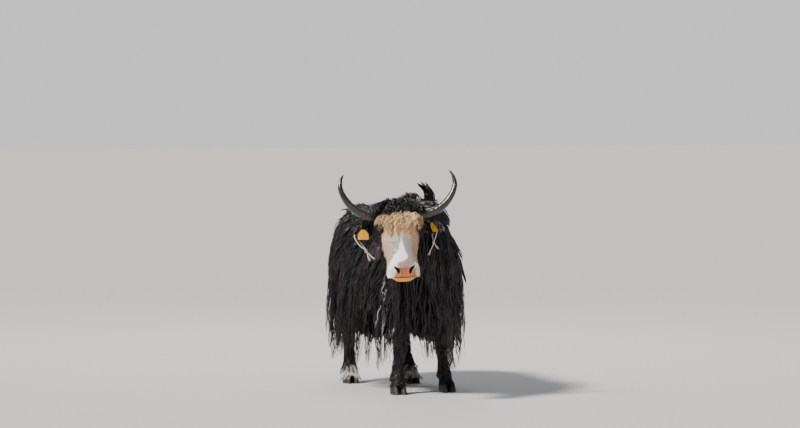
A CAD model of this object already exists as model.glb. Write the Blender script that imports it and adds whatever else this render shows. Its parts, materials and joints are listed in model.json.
# %% [markdown]
# # A yak in her coat
#
# The packed model is a coarse carving of a small domestic yak cow. It says where her bones,
# hooves, horns, tags and strings are. This lesson gives her a skin and a coat of real hair
# locks over that carving. The first step loads the carving and keeps its size, because a
# lock may hang only a little outside it.

# %% Loading the frame
import json
import math
from types import SimpleNamespace

import bmesh
import bpy
import numpy as np
from mathutils import Matrix, Vector
from mathutils.bvhtree import BVHTree
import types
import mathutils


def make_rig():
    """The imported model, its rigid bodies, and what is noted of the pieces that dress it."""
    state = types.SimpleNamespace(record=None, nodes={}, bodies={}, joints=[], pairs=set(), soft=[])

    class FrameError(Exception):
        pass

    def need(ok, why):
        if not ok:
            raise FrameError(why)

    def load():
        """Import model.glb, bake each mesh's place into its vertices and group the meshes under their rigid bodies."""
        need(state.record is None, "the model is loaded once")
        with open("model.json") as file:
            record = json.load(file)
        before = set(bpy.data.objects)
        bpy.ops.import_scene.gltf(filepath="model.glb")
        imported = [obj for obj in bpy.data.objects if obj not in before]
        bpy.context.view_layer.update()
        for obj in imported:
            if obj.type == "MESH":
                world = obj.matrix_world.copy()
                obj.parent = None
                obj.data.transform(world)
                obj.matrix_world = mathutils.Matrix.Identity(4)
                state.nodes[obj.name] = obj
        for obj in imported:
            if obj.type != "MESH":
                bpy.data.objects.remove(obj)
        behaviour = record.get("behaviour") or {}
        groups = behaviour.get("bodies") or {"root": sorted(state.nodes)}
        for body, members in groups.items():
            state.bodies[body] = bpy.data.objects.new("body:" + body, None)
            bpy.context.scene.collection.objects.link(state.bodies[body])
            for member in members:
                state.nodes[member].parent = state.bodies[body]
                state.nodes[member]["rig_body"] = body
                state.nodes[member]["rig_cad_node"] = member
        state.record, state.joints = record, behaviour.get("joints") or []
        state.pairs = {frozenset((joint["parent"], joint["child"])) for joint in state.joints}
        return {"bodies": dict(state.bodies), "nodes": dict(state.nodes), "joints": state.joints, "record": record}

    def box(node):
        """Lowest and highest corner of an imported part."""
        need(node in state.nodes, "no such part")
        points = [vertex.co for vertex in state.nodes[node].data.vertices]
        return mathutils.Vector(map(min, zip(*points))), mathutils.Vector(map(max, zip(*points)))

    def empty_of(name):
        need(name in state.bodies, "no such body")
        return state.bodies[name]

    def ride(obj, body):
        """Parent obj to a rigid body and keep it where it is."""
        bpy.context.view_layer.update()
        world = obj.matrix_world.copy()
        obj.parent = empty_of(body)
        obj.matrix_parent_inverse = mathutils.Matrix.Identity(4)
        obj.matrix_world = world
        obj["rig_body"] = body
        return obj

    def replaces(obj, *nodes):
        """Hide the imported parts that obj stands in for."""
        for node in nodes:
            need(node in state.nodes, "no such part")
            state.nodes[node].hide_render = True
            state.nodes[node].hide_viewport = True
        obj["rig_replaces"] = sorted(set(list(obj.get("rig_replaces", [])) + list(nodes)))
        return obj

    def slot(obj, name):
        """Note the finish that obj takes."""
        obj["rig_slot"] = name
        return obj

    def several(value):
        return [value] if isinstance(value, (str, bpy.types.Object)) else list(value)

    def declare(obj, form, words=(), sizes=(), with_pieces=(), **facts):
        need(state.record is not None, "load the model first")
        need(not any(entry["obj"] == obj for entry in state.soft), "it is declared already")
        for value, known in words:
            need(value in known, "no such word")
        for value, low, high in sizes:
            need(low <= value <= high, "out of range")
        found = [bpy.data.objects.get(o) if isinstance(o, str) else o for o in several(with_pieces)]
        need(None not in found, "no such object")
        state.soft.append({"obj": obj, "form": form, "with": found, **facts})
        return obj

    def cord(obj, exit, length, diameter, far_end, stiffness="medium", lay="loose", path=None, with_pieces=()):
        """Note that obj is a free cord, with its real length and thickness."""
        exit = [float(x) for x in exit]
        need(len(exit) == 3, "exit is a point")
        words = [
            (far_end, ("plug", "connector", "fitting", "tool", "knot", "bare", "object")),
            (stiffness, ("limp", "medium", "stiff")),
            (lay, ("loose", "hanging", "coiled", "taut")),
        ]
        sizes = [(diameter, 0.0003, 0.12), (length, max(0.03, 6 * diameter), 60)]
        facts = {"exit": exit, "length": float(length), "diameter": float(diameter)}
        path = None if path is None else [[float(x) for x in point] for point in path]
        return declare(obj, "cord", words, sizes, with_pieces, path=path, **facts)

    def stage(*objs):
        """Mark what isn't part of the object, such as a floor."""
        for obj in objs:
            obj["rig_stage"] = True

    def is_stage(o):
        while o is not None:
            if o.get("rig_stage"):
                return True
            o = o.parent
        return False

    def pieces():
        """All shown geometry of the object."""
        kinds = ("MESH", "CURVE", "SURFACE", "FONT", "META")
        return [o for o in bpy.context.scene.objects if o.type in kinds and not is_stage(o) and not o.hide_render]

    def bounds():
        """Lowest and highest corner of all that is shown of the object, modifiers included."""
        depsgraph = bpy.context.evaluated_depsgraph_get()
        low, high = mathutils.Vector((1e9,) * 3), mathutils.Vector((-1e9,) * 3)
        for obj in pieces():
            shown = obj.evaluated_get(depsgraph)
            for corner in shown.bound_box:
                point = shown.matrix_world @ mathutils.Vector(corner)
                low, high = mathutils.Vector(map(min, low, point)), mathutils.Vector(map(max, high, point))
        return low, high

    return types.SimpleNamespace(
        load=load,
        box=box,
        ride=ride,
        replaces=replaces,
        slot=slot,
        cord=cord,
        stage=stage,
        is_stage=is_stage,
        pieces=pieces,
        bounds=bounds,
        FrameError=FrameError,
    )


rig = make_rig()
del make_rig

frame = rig.load()
cad_box = [list(corner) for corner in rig.bounds()]
print("the carving spans", *[np.round(corner, 3).tolist() for corner in cad_box])

# %% [markdown]
# ## One point that ties the drawing to the frame
#
# The body is drawn on a plan of its own, in which she stands with her spine on x = 0. The
# frame puts the middle of her box on the origin instead. One hoof tells how far the two are
# apart, so nothing else has to be measured.

# %% From the plan to the frame
FOREFOOT = (-0.140, -0.235)      # her right forefoot on the plan
TOE_AHEAD = 0.083                # from that point to the tips of its claws
inner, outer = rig.box("claw_front_right_left"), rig.box("claw_front_right_right")
SHIFT = np.array([(inner[0].x + outer[1].x) / 2 - FOREFOOT[0],
                  outer[0].y - (FOREFOOT[1] - TOE_AHEAD), 0.0])
UP = np.array([0.0, 0.0, 1.0])
DOWN = -UP
print("the plan is moved by", SHIFT.round(4))

# %% [markdown]
# ## Camera and lamps
#
# The photograph was taken from far away with a long lens, at about the height of her chin,
# a little to her right. A distant camera with a long lens gives the same flat perspective.
# A soft sun on her right, a weak lamp in front and one behind light her.

# %% Camera and lamps
CAMERA_TARGET = Vector((-0.0354, 0.0122, 0.942)) + Vector(SHIFT)
LAMP_TARGET = Vector((0.0, 0.0, 0.6))
COOL = (0.95, 0.97, 1.0)


def add(thing):
    bpy.context.scene.collection.objects.link(thing)
    return thing


def looking(name, data, target, azimuth, elevation, distance):
    """A new object that looks at a target, from degrees round to her left and degrees up."""
    a, e = math.radians(azimuth), math.radians(elevation)
    back = Vector((math.sin(a) * math.cos(e), -math.cos(a) * math.cos(e), math.sin(e)))
    thing = add(bpy.data.objects.new(name, data))
    thing.location = target + back * distance
    thing.rotation_euler = back.to_track_quat("Z", "Y").to_euler()
    return thing


def lamp(name, kind, azimuth, elevation, distance, **settings):
    light = bpy.data.lights.new(name, kind)
    for key, value in settings.items():
        setattr(light, key, value)
    looking(name, light, LAMP_TARGET, azimuth, elevation, distance)


lens = bpy.data.cameras.new("camera")
lens.lens, lens.sensor_width, lens.clip_end = 168.3, 36.0, 200.0
camera = looking("camera", lens, CAMERA_TARGET, azimuth=-19.0, elevation=2.2, distance=20.0)
bpy.context.scene.camera = camera
lamp("sun", "SUN", -72.0, 46.0, 10.0, energy=5.9, color=(1.0, 0.97, 0.92), angle=math.radians(9.0))
lamp("front", "AREA", 5.0, 20.0, 7.0, energy=36.0, color=COOL, shape="DISK", size=4.0)
lamp("behind", "AREA", 165.0, 45.0, 6.0, energy=120.0, color=COOL, shape="DISK", size=2.5)
print("the camera stands at", tuple(round(v, 2) for v in camera.location))

# %% [markdown]
# ## Writing shaders as sums
#
# A mask is easier to read as a formula than as a net of nodes. The small class below wraps a
# socket, so that `1 - mask * 0.5` adds the Math nodes by itself. Every other node comes from
# one method, which takes its type, its settings and what feeds its sockets.


# %% Signals
class Signal:
    """A shader socket that takes part in Python expressions."""

    def __init__(self, nodes, socket):
        self.nodes, self.socket = nodes, socket

    def math(self, operation, *values):
        return self.nodes.node("ShaderNodeMath", {"operation": operation}, dict(enumerate(values)))

    def __add__(self, other):
        return self.math("ADD", self, other)

    def __sub__(self, other):
        return self.math("SUBTRACT", self, other)

    def __rsub__(self, other):
        return self.math("SUBTRACT", other, self)

    def __mul__(self, other):
        return self.math("MULTIPLY", self, other)

    def __truediv__(self, other):
        return self.math("DIVIDE", self, other)

    __radd__, __rmul__ = __add__, __mul__

    def size(self):
        return self.math("ABSOLUTE", self)

    def step(self, low, high):
        """0 below low, 1 above high, and smooth between; low may be the greater one."""
        feeds = {"Value": self, "From Min": low, "From Max": high}
        return self.nodes.node("ShaderNodeMapRange", {"interpolation_type": "SMOOTHSTEP"}, feeds)

    def table(self, pairs):
        """The value that a table of (place, value) pairs gives, straight between them."""
        low, high = pairs[0][0], pairs[-1][0]
        values = [value for _, value in pairs]
        least, span = min(values), max(values) - min(values)
        stops = [((place - low) / (high - low), [(value - least) / span] * 3 + [1.0])
                 for place, value in pairs]
        ramp = self.nodes.node("ShaderNodeValToRGB", {"stops": stops},
                               {0: (self - low) / (high - low)})
        return ramp * span + least


print("a signal knows", [name for name in vars(Signal) if not name.startswith("_")])


# %% Nodes and finishes
def paint(red, green, blue):
    """A colour as a painter's 0 to 255 values, in the linear light that shaders use."""
    linear = [(v / 255 / 12.92) if v < 10 else ((v / 255 + 0.055) / 1.055) ** 2.4
              for v in (red, green, blue)]
    return (*linear, 1.0)


class Nodes:
    """A node tree, with one method for any node and short ones for those used most."""

    def __init__(self, tree):
        self.tree = tree

    def feed(self, socket, value):
        if isinstance(value, Signal):
            self.tree.links.new(value.socket, socket)
        else:
            socket.default_value = value

    def node(self, kind, settings=None, feeds=None, output=0):
        made = self.tree.nodes.new(kind)
        for name, value in (settings or {}).items():
            if name == "stops":
                self.set_stops(made.color_ramp, value)
            else:
                setattr(made, name, value)
        for name, value in (feeds or {}).items():
            self.feed(made.inputs[name], value)
        return Signal(self, made.outputs[output])

    def set_stops(self, ramp, stops):
        while len(ramp.elements) < len(stops):
            ramp.elements.new(0.5)
        for element, (place, colour) in zip(ramp.elements, stops):
            element.position, element.color = place, colour

    def coordinates(self, kind="Object"):
        return self.node("ShaderNodeTexCoord", output=kind)

    def attribute(self, name, output="Fac"):
        return self.node("ShaderNodeAttribute", {"attribute_name": name}, output=output)

    def vector(self, operation, first, second, output=0):
        feeds = {0: first, 1: tuple(second)}
        return self.node("ShaderNodeVectorMath", {"operation": operation}, feeds, output)

    def along(self, vector, axis, origin=(0, 0, 0)):
        """How far vector lies along an axis from an origin."""
        return self.vector("DOT_PRODUCT", vector, axis, "Value") - float(np.dot(axis, origin))

    def distance(self, vector, point):
        return self.vector("DISTANCE", vector, point, "Value")

    def joined(self, x, y, z):
        return self.node("ShaderNodeCombineXYZ", {}, {0: x, 1: y, 2: z})

    def noise(self, vector, scale, detail=2.0):
        return self.node("ShaderNodeTexNoise", {},
                         {"Vector": vector, "Scale": scale, "Detail": detail})

    def mix(self, share, first, second):
        """First where share is 0, second where it is 1; three numbers are a paint."""
        first, second = (paint(*end) if isinstance(end, tuple) and len(end) == 3 else end
                         for end in (first, second))
        feeds = {0: share, 6: first, 7: second}
        return self.node("ShaderNodeMix", {"data_type": "RGBA"}, feeds, 2)


class Finish(Nodes):
    """A material with one Principled shader."""

    def __init__(self, name, **constants):
        self.material = bpy.data.materials.new(name)
        self.material.use_nodes = True
        super().__init__(self.material.node_tree)
        self.shader = self.tree.nodes["Principled BSDF"]
        self.set(**constants)

    def set(self, **values):
        for name, value in values.items():
            self.feed(self.shader.inputs[name.replace("_", " ")], value)

    def bump(self, height, strength, distance):
        feeds = {"Height": height, "Strength": strength, "Distance": distance}
        self.set(Normal=self.node("ShaderNodeBump", {}, feeds))


print("signals and finishes are ready")

# %% [markdown]
# ## The ground that she stands on
#
# A plain pale floor keeps the eye on the animal. It isn't part of her. The sky is dim above
# and as pale as the floor at the horizon, so that the two run into each other.

# %% Floor and sky
FLOOR_REACH = 60.0
HORIZON, SKY = (0.86, 0.85, 0.84, 1.0), (0.21, 0.22, 0.235, 1.0)
FADE_START, FADE_LENGTH = 0.03, 0.09     # of the sky over the horizon, straight up being 1

floor_mesh = bpy.data.meshes.new("floor")
floor_mesh.from_pydata([(x * FLOOR_REACH, y * FLOOR_REACH, 0.0)
                        for x, y in ((-1, -1), (1, -1), (1, 1), (-1, 1))], [], [(0, 1, 2, 3)])
floor = add(bpy.data.objects.new("floor", floor_mesh))
floor_finish = Finish("pale_floor", Roughness=0.85, Base_Color=paint(204, 203, 201))
floor_mesh.materials.append(floor_finish.material)
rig.stage(floor)

world = bpy.data.worlds.new("studio")
bpy.context.scene.world = world
world.use_nodes = True
air = Nodes(world.node_tree)
rise = (air.along(air.coordinates("Generated"), (0, 0, 1)) - FADE_START) / FADE_LENGTH
air.feed(air.tree.nodes["Background"].inputs["Color"], air.mix(rise, HORIZON, SKY))
print("the floor is", 2 * FLOOR_REACH, "m wide")

# %% [markdown]
# ## Rows, sections and lofts
#
# Her body is drawn as rows of a few numbers: where a cross-section stands, how wide it is and
# how high. A smooth curve through the rows gives any section between them. A loft is then a
# grid of points, rings by sides, and the same grid later says where hair can grow.


# %% Rows and sections
def fair(rows, places):
    """Rows read at any place between them, on a smooth curve through them."""
    rows = np.asarray(rows, float)
    i = np.clip(np.floor(places).astype(int), 0, len(rows) - 2)
    t = (places - i)[:, None]
    a, b = rows[np.maximum(i - 1, 0)], rows[i]
    c, d = rows[i + 1], rows[np.minimum(i + 2, len(rows) - 1)]
    return 0.5 * (2 * b + (c - a) * t + (2 * a - 5 * b + 4 * c - d) * t ** 2
                  + (3 * b - a - 3 * c + d) * t ** 3)


def spread(rows, count):
    """So many rows, evenly from the first to the last."""
    return fair(rows, np.linspace(0, len(rows) - 1, count))


def hill(*terms):
    """1 where every value is at its middle, and less around; a term is value, middle, reach."""
    return np.exp(-sum(((value - middle) / reach) ** 2 for value, middle, reach in terms))


def fade(value):
    """A smooth 0 to 1 from a value that runs from 0 to 1."""
    value = np.clip(value, 0, 1)
    return value * value * (3 - 2 * value)


def outline(powers, count):
    """A unit section as across and up, with its own roundness above and below."""
    angle = 2 * np.pi * np.arange(count) / count
    c, s = np.cos(angle), np.sin(angle)
    power = np.where(s > 0, powers[0], powers[1])
    return np.sign(c) * abs(c) ** (2 / power), np.sign(s) * abs(s) ** (2 / power)


def unit(v):
    return v / np.maximum(np.linalg.norm(v, axis=-1, keepdims=True), 1e-9)


def dot(a, b):
    return (a * b).sum(-1, keepdims=True)


def outward(grid):
    """The outward direction at each point of a loft's grid."""
    around = np.roll(grid, -1, 1) - np.roll(grid, 1, 1)
    normal = unit(np.cross(around, np.gradient(grid, axis=0)))
    spoke = grid - grid.mean(1, keepdims=True)
    return normal * np.sign(dot(spoke, normal).mean())


print("halfway between 0 and 1 lies", spread([[0.0], [1.0]], 3)[1, 0])


# %% Meshes from grids
def mark(mesh, **attributes):
    """Keeps a number or a vector for every point of a mesh, where shaders can read it."""
    for key, values in attributes.items():
        kind, field = ("FLOAT_VECTOR", "vector") if values.ndim == 2 else ("FLOAT", "value")
        layer = mesh.attributes.new(key, kind, "POINT")
        layer.data.foreach_set(field, np.asarray(values, np.float32).ravel())


def mesh_of(name, points, corners, sizes, chart):
    """A smooth mesh from its points, the corners of its faces and each face's corner count."""
    mesh = bpy.data.meshes.new(name)
    mesh.vertices.add(len(points))
    mesh.vertices.foreach_set("co", np.asarray(points, np.float32).ravel())
    mesh.loops.add(len(corners))
    mesh.loops.foreach_set("vertex_index", np.asarray(corners, np.int32))
    mesh.polygons.add(len(sizes))
    starts = np.concatenate([[0], np.cumsum(sizes)[:-1]]).astype(np.int32)
    mesh.polygons.foreach_set("loop_start", starts)
    mesh.update(calc_edges=True)
    layer = mesh.uv_layers.new(name="OFBake")
    layer.data.foreach_set("uv", np.asarray(chart, np.float32).ravel())
    mesh.shade_smooth()
    return mesh


def loft(name, grid, box=(0.0, 0.0, 1.0, 1.0)):
    """A closed mesh over a grid, laid out flat in a box of its chart."""
    rings, sides = grid.shape[:2]
    r, s = (index.ravel() for index in np.mgrid[:rings - 1, :sides])
    nearby = (s + 1) % sides
    quads = np.stack([r * sides + s, r * sides + nearby,
                      (r + 1) * sides + nearby, (r + 1) * sides + s], 1)
    chart = np.stack([np.stack([s, s + 1, s + 1, s], 1) / sides,
                      np.stack([r, r, r + 1, r + 1], 1) / (rings - 1)], -1).reshape(-1, 2)
    first, last = np.arange(sides), (rings - 1) * sides + np.arange(sides)
    corners = np.concatenate([quads.ravel(), first[::-1], last])
    ends = np.stack([np.linspace(0, 1, sides), np.zeros(sides)], 1)
    chart = np.concatenate([chart, ends[::-1], ends + (0.0, 1.0)])
    chart = chart * (box[2], box[3]) + (box[0], box[1])
    sizes = np.concatenate([np.full(len(quads), 4), [sides, sides]])
    return mesh_of(name, grid.reshape(-1, 3), corners, sizes, chart)


def tube_grid(points, radii, sides):
    """Rings of a round tube along points, turned as little as possible."""
    along = unit(np.gradient(points, axis=0))
    normal = unit(np.cross(UP, along[0]) + np.array([1e-6, 0.0, 0.0]))
    rings = []
    angle = 2 * np.pi * np.arange(sides)[:, None] / sides
    for point, way, radius in zip(points, along, radii):
        normal = unit(normal - way * np.dot(normal, way))
        other = np.cross(way, normal)
        rings.append(point + (normal * np.cos(angle) + other * np.sin(angle)) * radius)
    return np.array(rings)


def smooth_mesh(name, bm):
    """A bmesh as a mesh of its own."""
    made = bpy.data.meshes.new(name)
    bm.to_mesh(made)
    bm.free()
    made.shade_smooth()
    return made


def closed(name, *lofts):
    """One mesh of some lofts, with its faces turned outwards."""
    bm = bmesh.new()
    for mesh in lofts:
        bm.from_mesh(mesh)
        bpy.data.meshes.remove(mesh)
    bmesh.ops.recalc_face_normals(bm, faces=bm.faces)
    return smooth_mesh(name, bm)


def piece(name, mesh, finish, slot, replaced=()):
    """An object that rides on the animal, in a finish, in place of some of the carving."""
    thing = add(bpy.data.objects.new(name, mesh))
    mesh.materials.clear()
    mesh.materials.append(finish.material)
    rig.ride(thing, "root")
    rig.slot(thing, slot)
    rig.replaces(thing, *replaced)
    return thing


print("lofts are ready")

# %% [markdown]
# ## The trunk and the head on the plan
#
# These are the same few rows that the carving was made from. The skin lies a little inside
# them, because the carving's surface stands for the matted under-coat.

# %% The trunk
# from the rump to the nape: x, y, heading, half width, top, widest level, bottom
TRUNK = (
    (0.000, 0.775, 0, 0.060, 0.885, 0.780, 0.680),
    (0.000, 0.745, 0, 0.135, 0.928, 0.760, 0.590),
    (0.000, 0.670, 0, 0.195, 0.952, 0.720, 0.530),
    (0.000, 0.530, 0, 0.235, 0.960, 0.670, 0.480),
    (0.000, 0.330, 0, 0.252, 0.942, 0.630, 0.430),
    (0.000, 0.110, 0, 0.246, 0.942, 0.610, 0.405),
    (0.000, -0.060, 0, 0.212, 0.985, 0.610, 0.400),
    (0.000, -0.190, 2, 0.178, 1.035, 0.620, 0.405),
    (0.000, -0.310, 6, 0.155, 1.030, 0.640, 0.415),
    (-0.018, -0.390, 16, 0.144, 1.018, 0.680, 0.455),
    (-0.058, -0.460, 27, 0.134, 1.006, 0.750, 0.540),
    (-0.115, -0.525, 34, 0.126, 0.998, 0.820, 0.640),
    (-0.180, -0.580, 34, 0.112, 0.992, 0.870, 0.720),
    (-0.240, -0.635, 28, 0.092, 0.982, 0.900, 0.790),
)
STATIONS = len(TRUNK) - 1
TRUNK_POWERS = (2.3, 2.4)
TRUNK_SIDES, TRUNK_RINGS = 72, 118
UNDERCOAT = 0.012                # depth of the matted hair over the skin
# the left of her neck is drawn in: how deep, and the middle and the reach in stations
NECK_DENT, DENT_STATION, DENT_REACH = 0.042, 8.4, 2.0


def trunk_grid():
    places = np.linspace(0, STATIONS, TRUNK_RINGS)
    x, y, heading, half, top, widest, bottom = fair(TRUNK, places).T
    across, rise = outline(TRUNK_POWERS, TRUNK_SIDES)
    turn = np.radians(heading)
    side = np.stack([np.cos(turn), -np.sin(turn), 0 * turn], 1)
    centre = np.stack([x, y - UNDERCOAT * (y > 0.7), widest], 1)
    reach = np.where(rise > 0, (top - widest)[:, None], (widest - bottom)[:, None]) - UNDERCOAT
    dent = NECK_DENT * hill((places, DENT_STATION, DENT_REACH))[:, None]
    dent = dent * (across > 0) * np.clip((rise - 0.15) / 0.45, 0, 1)
    wide = across * ((half - UNDERCOAT)[:, None] - dent)
    return (centre[:, None] + side[:, None] * wide[..., None]
            + UP * (reach * rise)[..., None] + SHIFT)


trunk = trunk_grid()
print("the trunk has", trunk.shape[0], "rings of", trunk.shape[1], "points")

# %% [markdown]
# ## The head
#
# The head has axes of its own: across to her left, down the face from the poll, and off the
# face. Its rows are set along the face. Brows, nostril wings, cheeks and chin are swellings
# that push the surface out smoothly.

# %% The head's axes and rows
POLL = np.array([-0.298, -0.705, 1.044]) + SHIFT
HEAD_YAW, HEAD_PITCH, HEAD_ROLL = 11.0, 30.0, 2.3
# down the face, half width, top, widest level and bottom, all off the face line
HEAD = (
    (-0.034, 0.004, -0.0895, -0.091, -0.0925),
    (-0.030, 0.050, -0.062, -0.091, -0.133),
    (-0.010, 0.084, -0.030, -0.086, -0.178),
    (0.030, 0.103, -0.007, -0.080, -0.213),
    (0.080, 0.110, 0.010, -0.072, -0.234),
    (0.130, 0.110, 0.014, -0.064, -0.224),
    (0.180, 0.098, 0.007, -0.068, -0.201),
    (0.235, 0.087, 0.000, -0.073, -0.176),
    (0.295, 0.077, -0.006, -0.070, -0.152),
    (0.345, 0.079, -0.007, -0.066, -0.141),
    (0.380, 0.084, -0.010, -0.066, -0.134),
    (0.408, 0.078, -0.023, -0.068, -0.121),
    (0.426, 0.058, -0.041, -0.071, -0.105),
    (0.434, 0.036, -0.053, -0.073, -0.094),
    (0.437, 0.012, -0.066, -0.074, -0.082),
    (0.4375, 0.001, -0.0735, -0.074, -0.0745),
)
HEAD_POWERS = (2.5, 2.1)
HEAD_SIDES = 224
# swellings: centre, reach and push, each across, down and off the face
HEAD_BUMPS = (
    ((0.084, 0.118, -0.012), (0.046, 0.050, 0.045), (0.010, 0.0, 0.013)),
    ((0.056, 0.384, -0.030), (0.034, 0.036, 0.036), (0.010, 0.002, 0.009)),
    ((0.092, 0.110, -0.145), (0.060, 0.085, 0.080), (0.014, 0.0, 0.0)),
    ((0.080, 0.240, -0.080), (0.050, 0.100, 0.060), (0.004, 0.0, 0.0)),
    ((0.000, 0.372, -0.140), (0.060, 0.050, 0.040), (0.0, 0.004, -0.012)),
    ((0.000, 0.428, -0.112), (0.110, 0.062, 0.036), (0.0, -0.013, 0.004)),
    ((0.076, 0.402, -0.112), (0.046, 0.058, 0.034), (-0.013, 0.0, 0.0)),
)
BOTH = np.array([[-1.0, 1.0, 1.0], [1.0, 1.0, 1.0]])     # her right and her left
HANDS = ((-1, "right"), (1, "left"))


def head_axes():
    """Rows: across, down the face, off the face; then level forward and up, all rolled."""
    yaw, pitch = math.radians(HEAD_YAW), math.radians(HEAD_PITCH)
    forward = Vector((-math.sin(yaw), -math.cos(yaw), 0.0))
    left = Vector((math.cos(yaw), -math.sin(yaw), 0.0))
    up = Vector(UP)
    roll = Matrix.Rotation(math.radians(HEAD_ROLL), 3, forward)
    down_face = forward * math.sin(pitch) - up * math.cos(pitch)
    off_face = forward * math.cos(pitch) + up * math.sin(pitch)
    return np.array([roll @ v for v in (left, down_face, off_face, forward, up)])


HEAD_AXES = head_axes()
ACROSS, DOWN_FACE, OFF_FACE, AHEAD, HEAD_UP = HEAD_AXES


def on_head(local):
    return POLL + np.asarray(local) @ HEAD_AXES[:3]


def off_head(points):
    """Head coordinates of points of the frame."""
    return (np.asarray(points) - POLL) @ HEAD_AXES[:3].T


def head_grid():
    last = len(HEAD) - 1
    places = np.concatenate([np.arange(0, 8, 0.095), np.arange(8, 11, 0.06),
                             np.linspace(11, last, 64)])
    u, half, top, widest, bottom = fair(HEAD, places).T
    across, rise = outline(HEAD_POWERS, HEAD_SIDES)
    a = across * half[:, None]
    reach = np.where(rise > 0, (top - widest)[:, None], (widest - bottom)[:, None])
    local = np.stack([a, np.broadcast_to(u[:, None], a.shape), widest[:, None] + reach * rise], -1)
    pushed = local.copy()
    for centre, size, push in HEAD_BUMPS:
        for side in BOTH[:2 if centre[0] else 1]:
            away = (((local - centre * side) / size) ** 2).sum(-1, keepdims=True)
            pushed += np.clip(1 - away, 0, 1) ** 2 * (push * side)
    return pushed


head_local = head_grid()
head_base = loft("head_base", on_head(head_local))
print("the head has", head_local.shape[0], "rings of", head_local.shape[1], "points")


# %% A tree that finds the nearest skin
class Ground:
    """A surface that a point can be set against."""

    def __init__(self, mesh, left_out=()):
        """All of a mesh, without the faces that lie in some boxes of its chart."""
        chart = mesh.uv_layers["OFBake"].data
        faces = []
        for face in mesh.polygons:
            x, y = chart[face.loop_start].uv
            if not any(a <= x <= a + c and b <= y <= b + d for a, b, c, d in left_out):
                faces.append(tuple(face.vertices))
        self.tree = BVHTree.FromPolygons([v.co for v in mesh.vertices], faces)

    def nearest(self, points):
        """For each point: the nearest one on the surface, the way out, and how far out it is."""
        found = [self.tree.find_nearest(point) for point in points.tolist()]
        near = np.array([hit[0] for hit in found])
        out = np.array([hit[1] for hit in found])
        return near, out, dot(points - near, out)

    def hit(self, start, way):
        return np.array(self.tree.ray_cast(Vector(start), Vector(way))[0])


head_ground = Ground(head_base)
print("the nose tip is at", on_head((0, 0.4375, -0.074)).round(3))

# %% [markdown]
# ## Mouth, nostrils and eye sockets
#
# The loft is dense at the muzzle, so its points can be pushed like clay. The mouth is where
# the surface meets a sheet of its own: the points near it go in, and the lips beside it swell.
# The line of the mouth climbs round the front, so that the soft upper lip hangs over the
# narrower lower one at both sides. A nostril is a bent slot with a raised rim. An eye sits in
# a shallow pit of its own.

# %% Where the features lie
MOUTH_BACK, MOUTH_LEVEL, MOUTH_SLOPE = 0.300, -0.0855, -0.03
MOUTH_RISE, RISE_START, RISE_RAMP = 0.050, 0.399, 0.031    # the line climbs round the front
# the mouth's groove, the lower lip and the upper one: push, height over the line and reach
LIPS = ((-0.0060, 0.0, 0.0032), (0.0045, -0.0120, 0.0070), (0.0018, 0.0100, 0.0075))
LIP_NARROWING, LIP_DROP = 0.19, 0.005    # of all that is under the mouth's line
# the hanging side of the upper lip: centre, reach and push
FLEW = (np.array([0.062, 0.398, -0.088]), np.array([0.036, 0.050, 0.034]),
        np.array([0.006, 0.002, -0.003]))
NOSTRIL = (np.array([0.052, 0.371, 0.000]), np.array([0.021, 0.416, -0.028]))
NOSTRIL_LENGTH, NOSTRIL_WIDTH, NOSTRIL_DEPTH = 0.0245, 0.0085, 0.026
NOSTRIL_BEND, NOSTRIL_DROP, RIM_HEIGHT = 9.0, 0.006, 0.0042
EYE = np.array([0.090, 0.145, -0.036])
EYE_RADIUS = 0.021
EYE_AIM = np.array([0.84, 0.06, 0.54])
EYE_AIM = EYE_AIM / np.linalg.norm(EYE_AIM)
LID_REACH = 0.036
DOWN_LOCAL = np.array([0.0, 1.0, 0.0])


def mouth_gap(local):
    """Height over the line of the mouth, and how far a point is within its corners."""
    _, u, o = np.moveaxis(local, -1, 0)
    ramp = (u - RISE_START) / RISE_RAMP
    over = o - MOUTH_LEVEL - MOUTH_SLOPE * (u - MOUTH_BACK) - MOUTH_RISE * fade(ramp)
    return over, fade((u - MOUTH_BACK) / 0.020)


def nostril_frame(side):
    """The middle of a nostril, then along it, across it and out of it, in head coordinates."""
    outer, inner = (off_head(head_ground.nearest(on_head(end * side)[None])[0][0])
                    for end in NOSTRIL)
    middle = (outer + inner) / 2
    out = head_ground.nearest(on_head(middle)[None])[1][0] @ HEAD_AXES[:3].T
    along = unit(inner - outer)
    out = unit(out - along * np.dot(out, along))
    return middle, along, np.cross(out, along) * side[0], out


print("the line of the mouth climbs", MOUTH_RISE, "m round the front")


# %% Pushing in the features
def press_mouth(local):
    """The groove, the swollen lips, the narrower lower lip and the hanging upper one."""
    normal = outward(on_head(local)) @ HEAD_AXES[:3].T
    over, inside = mouth_gap(local)
    swell = sum(push * hill((over, height, reach)) for push, height, reach in LIPS)
    local = local + normal * (swell * inside)[..., None]
    under = fade(-over / 0.010) * fade((local[..., 1] - 0.350) / 0.050)
    local = local * (1 - np.array([LIP_NARROWING, 0.0, 0.0]) * under[..., None])
    local = local - DOWN_LOCAL * (LIP_DROP * under)[..., None]
    for side in BOTH:
        away = (((local - FLEW[0] * side) / FLEW[1]) ** 2).sum(-1)
        swell = np.clip(1 - away, 0, 1) ** 2 * fade((over + 0.003) / 0.006)
        local = local + FLEW[2] * side * swell[..., None]
    return local


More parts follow.
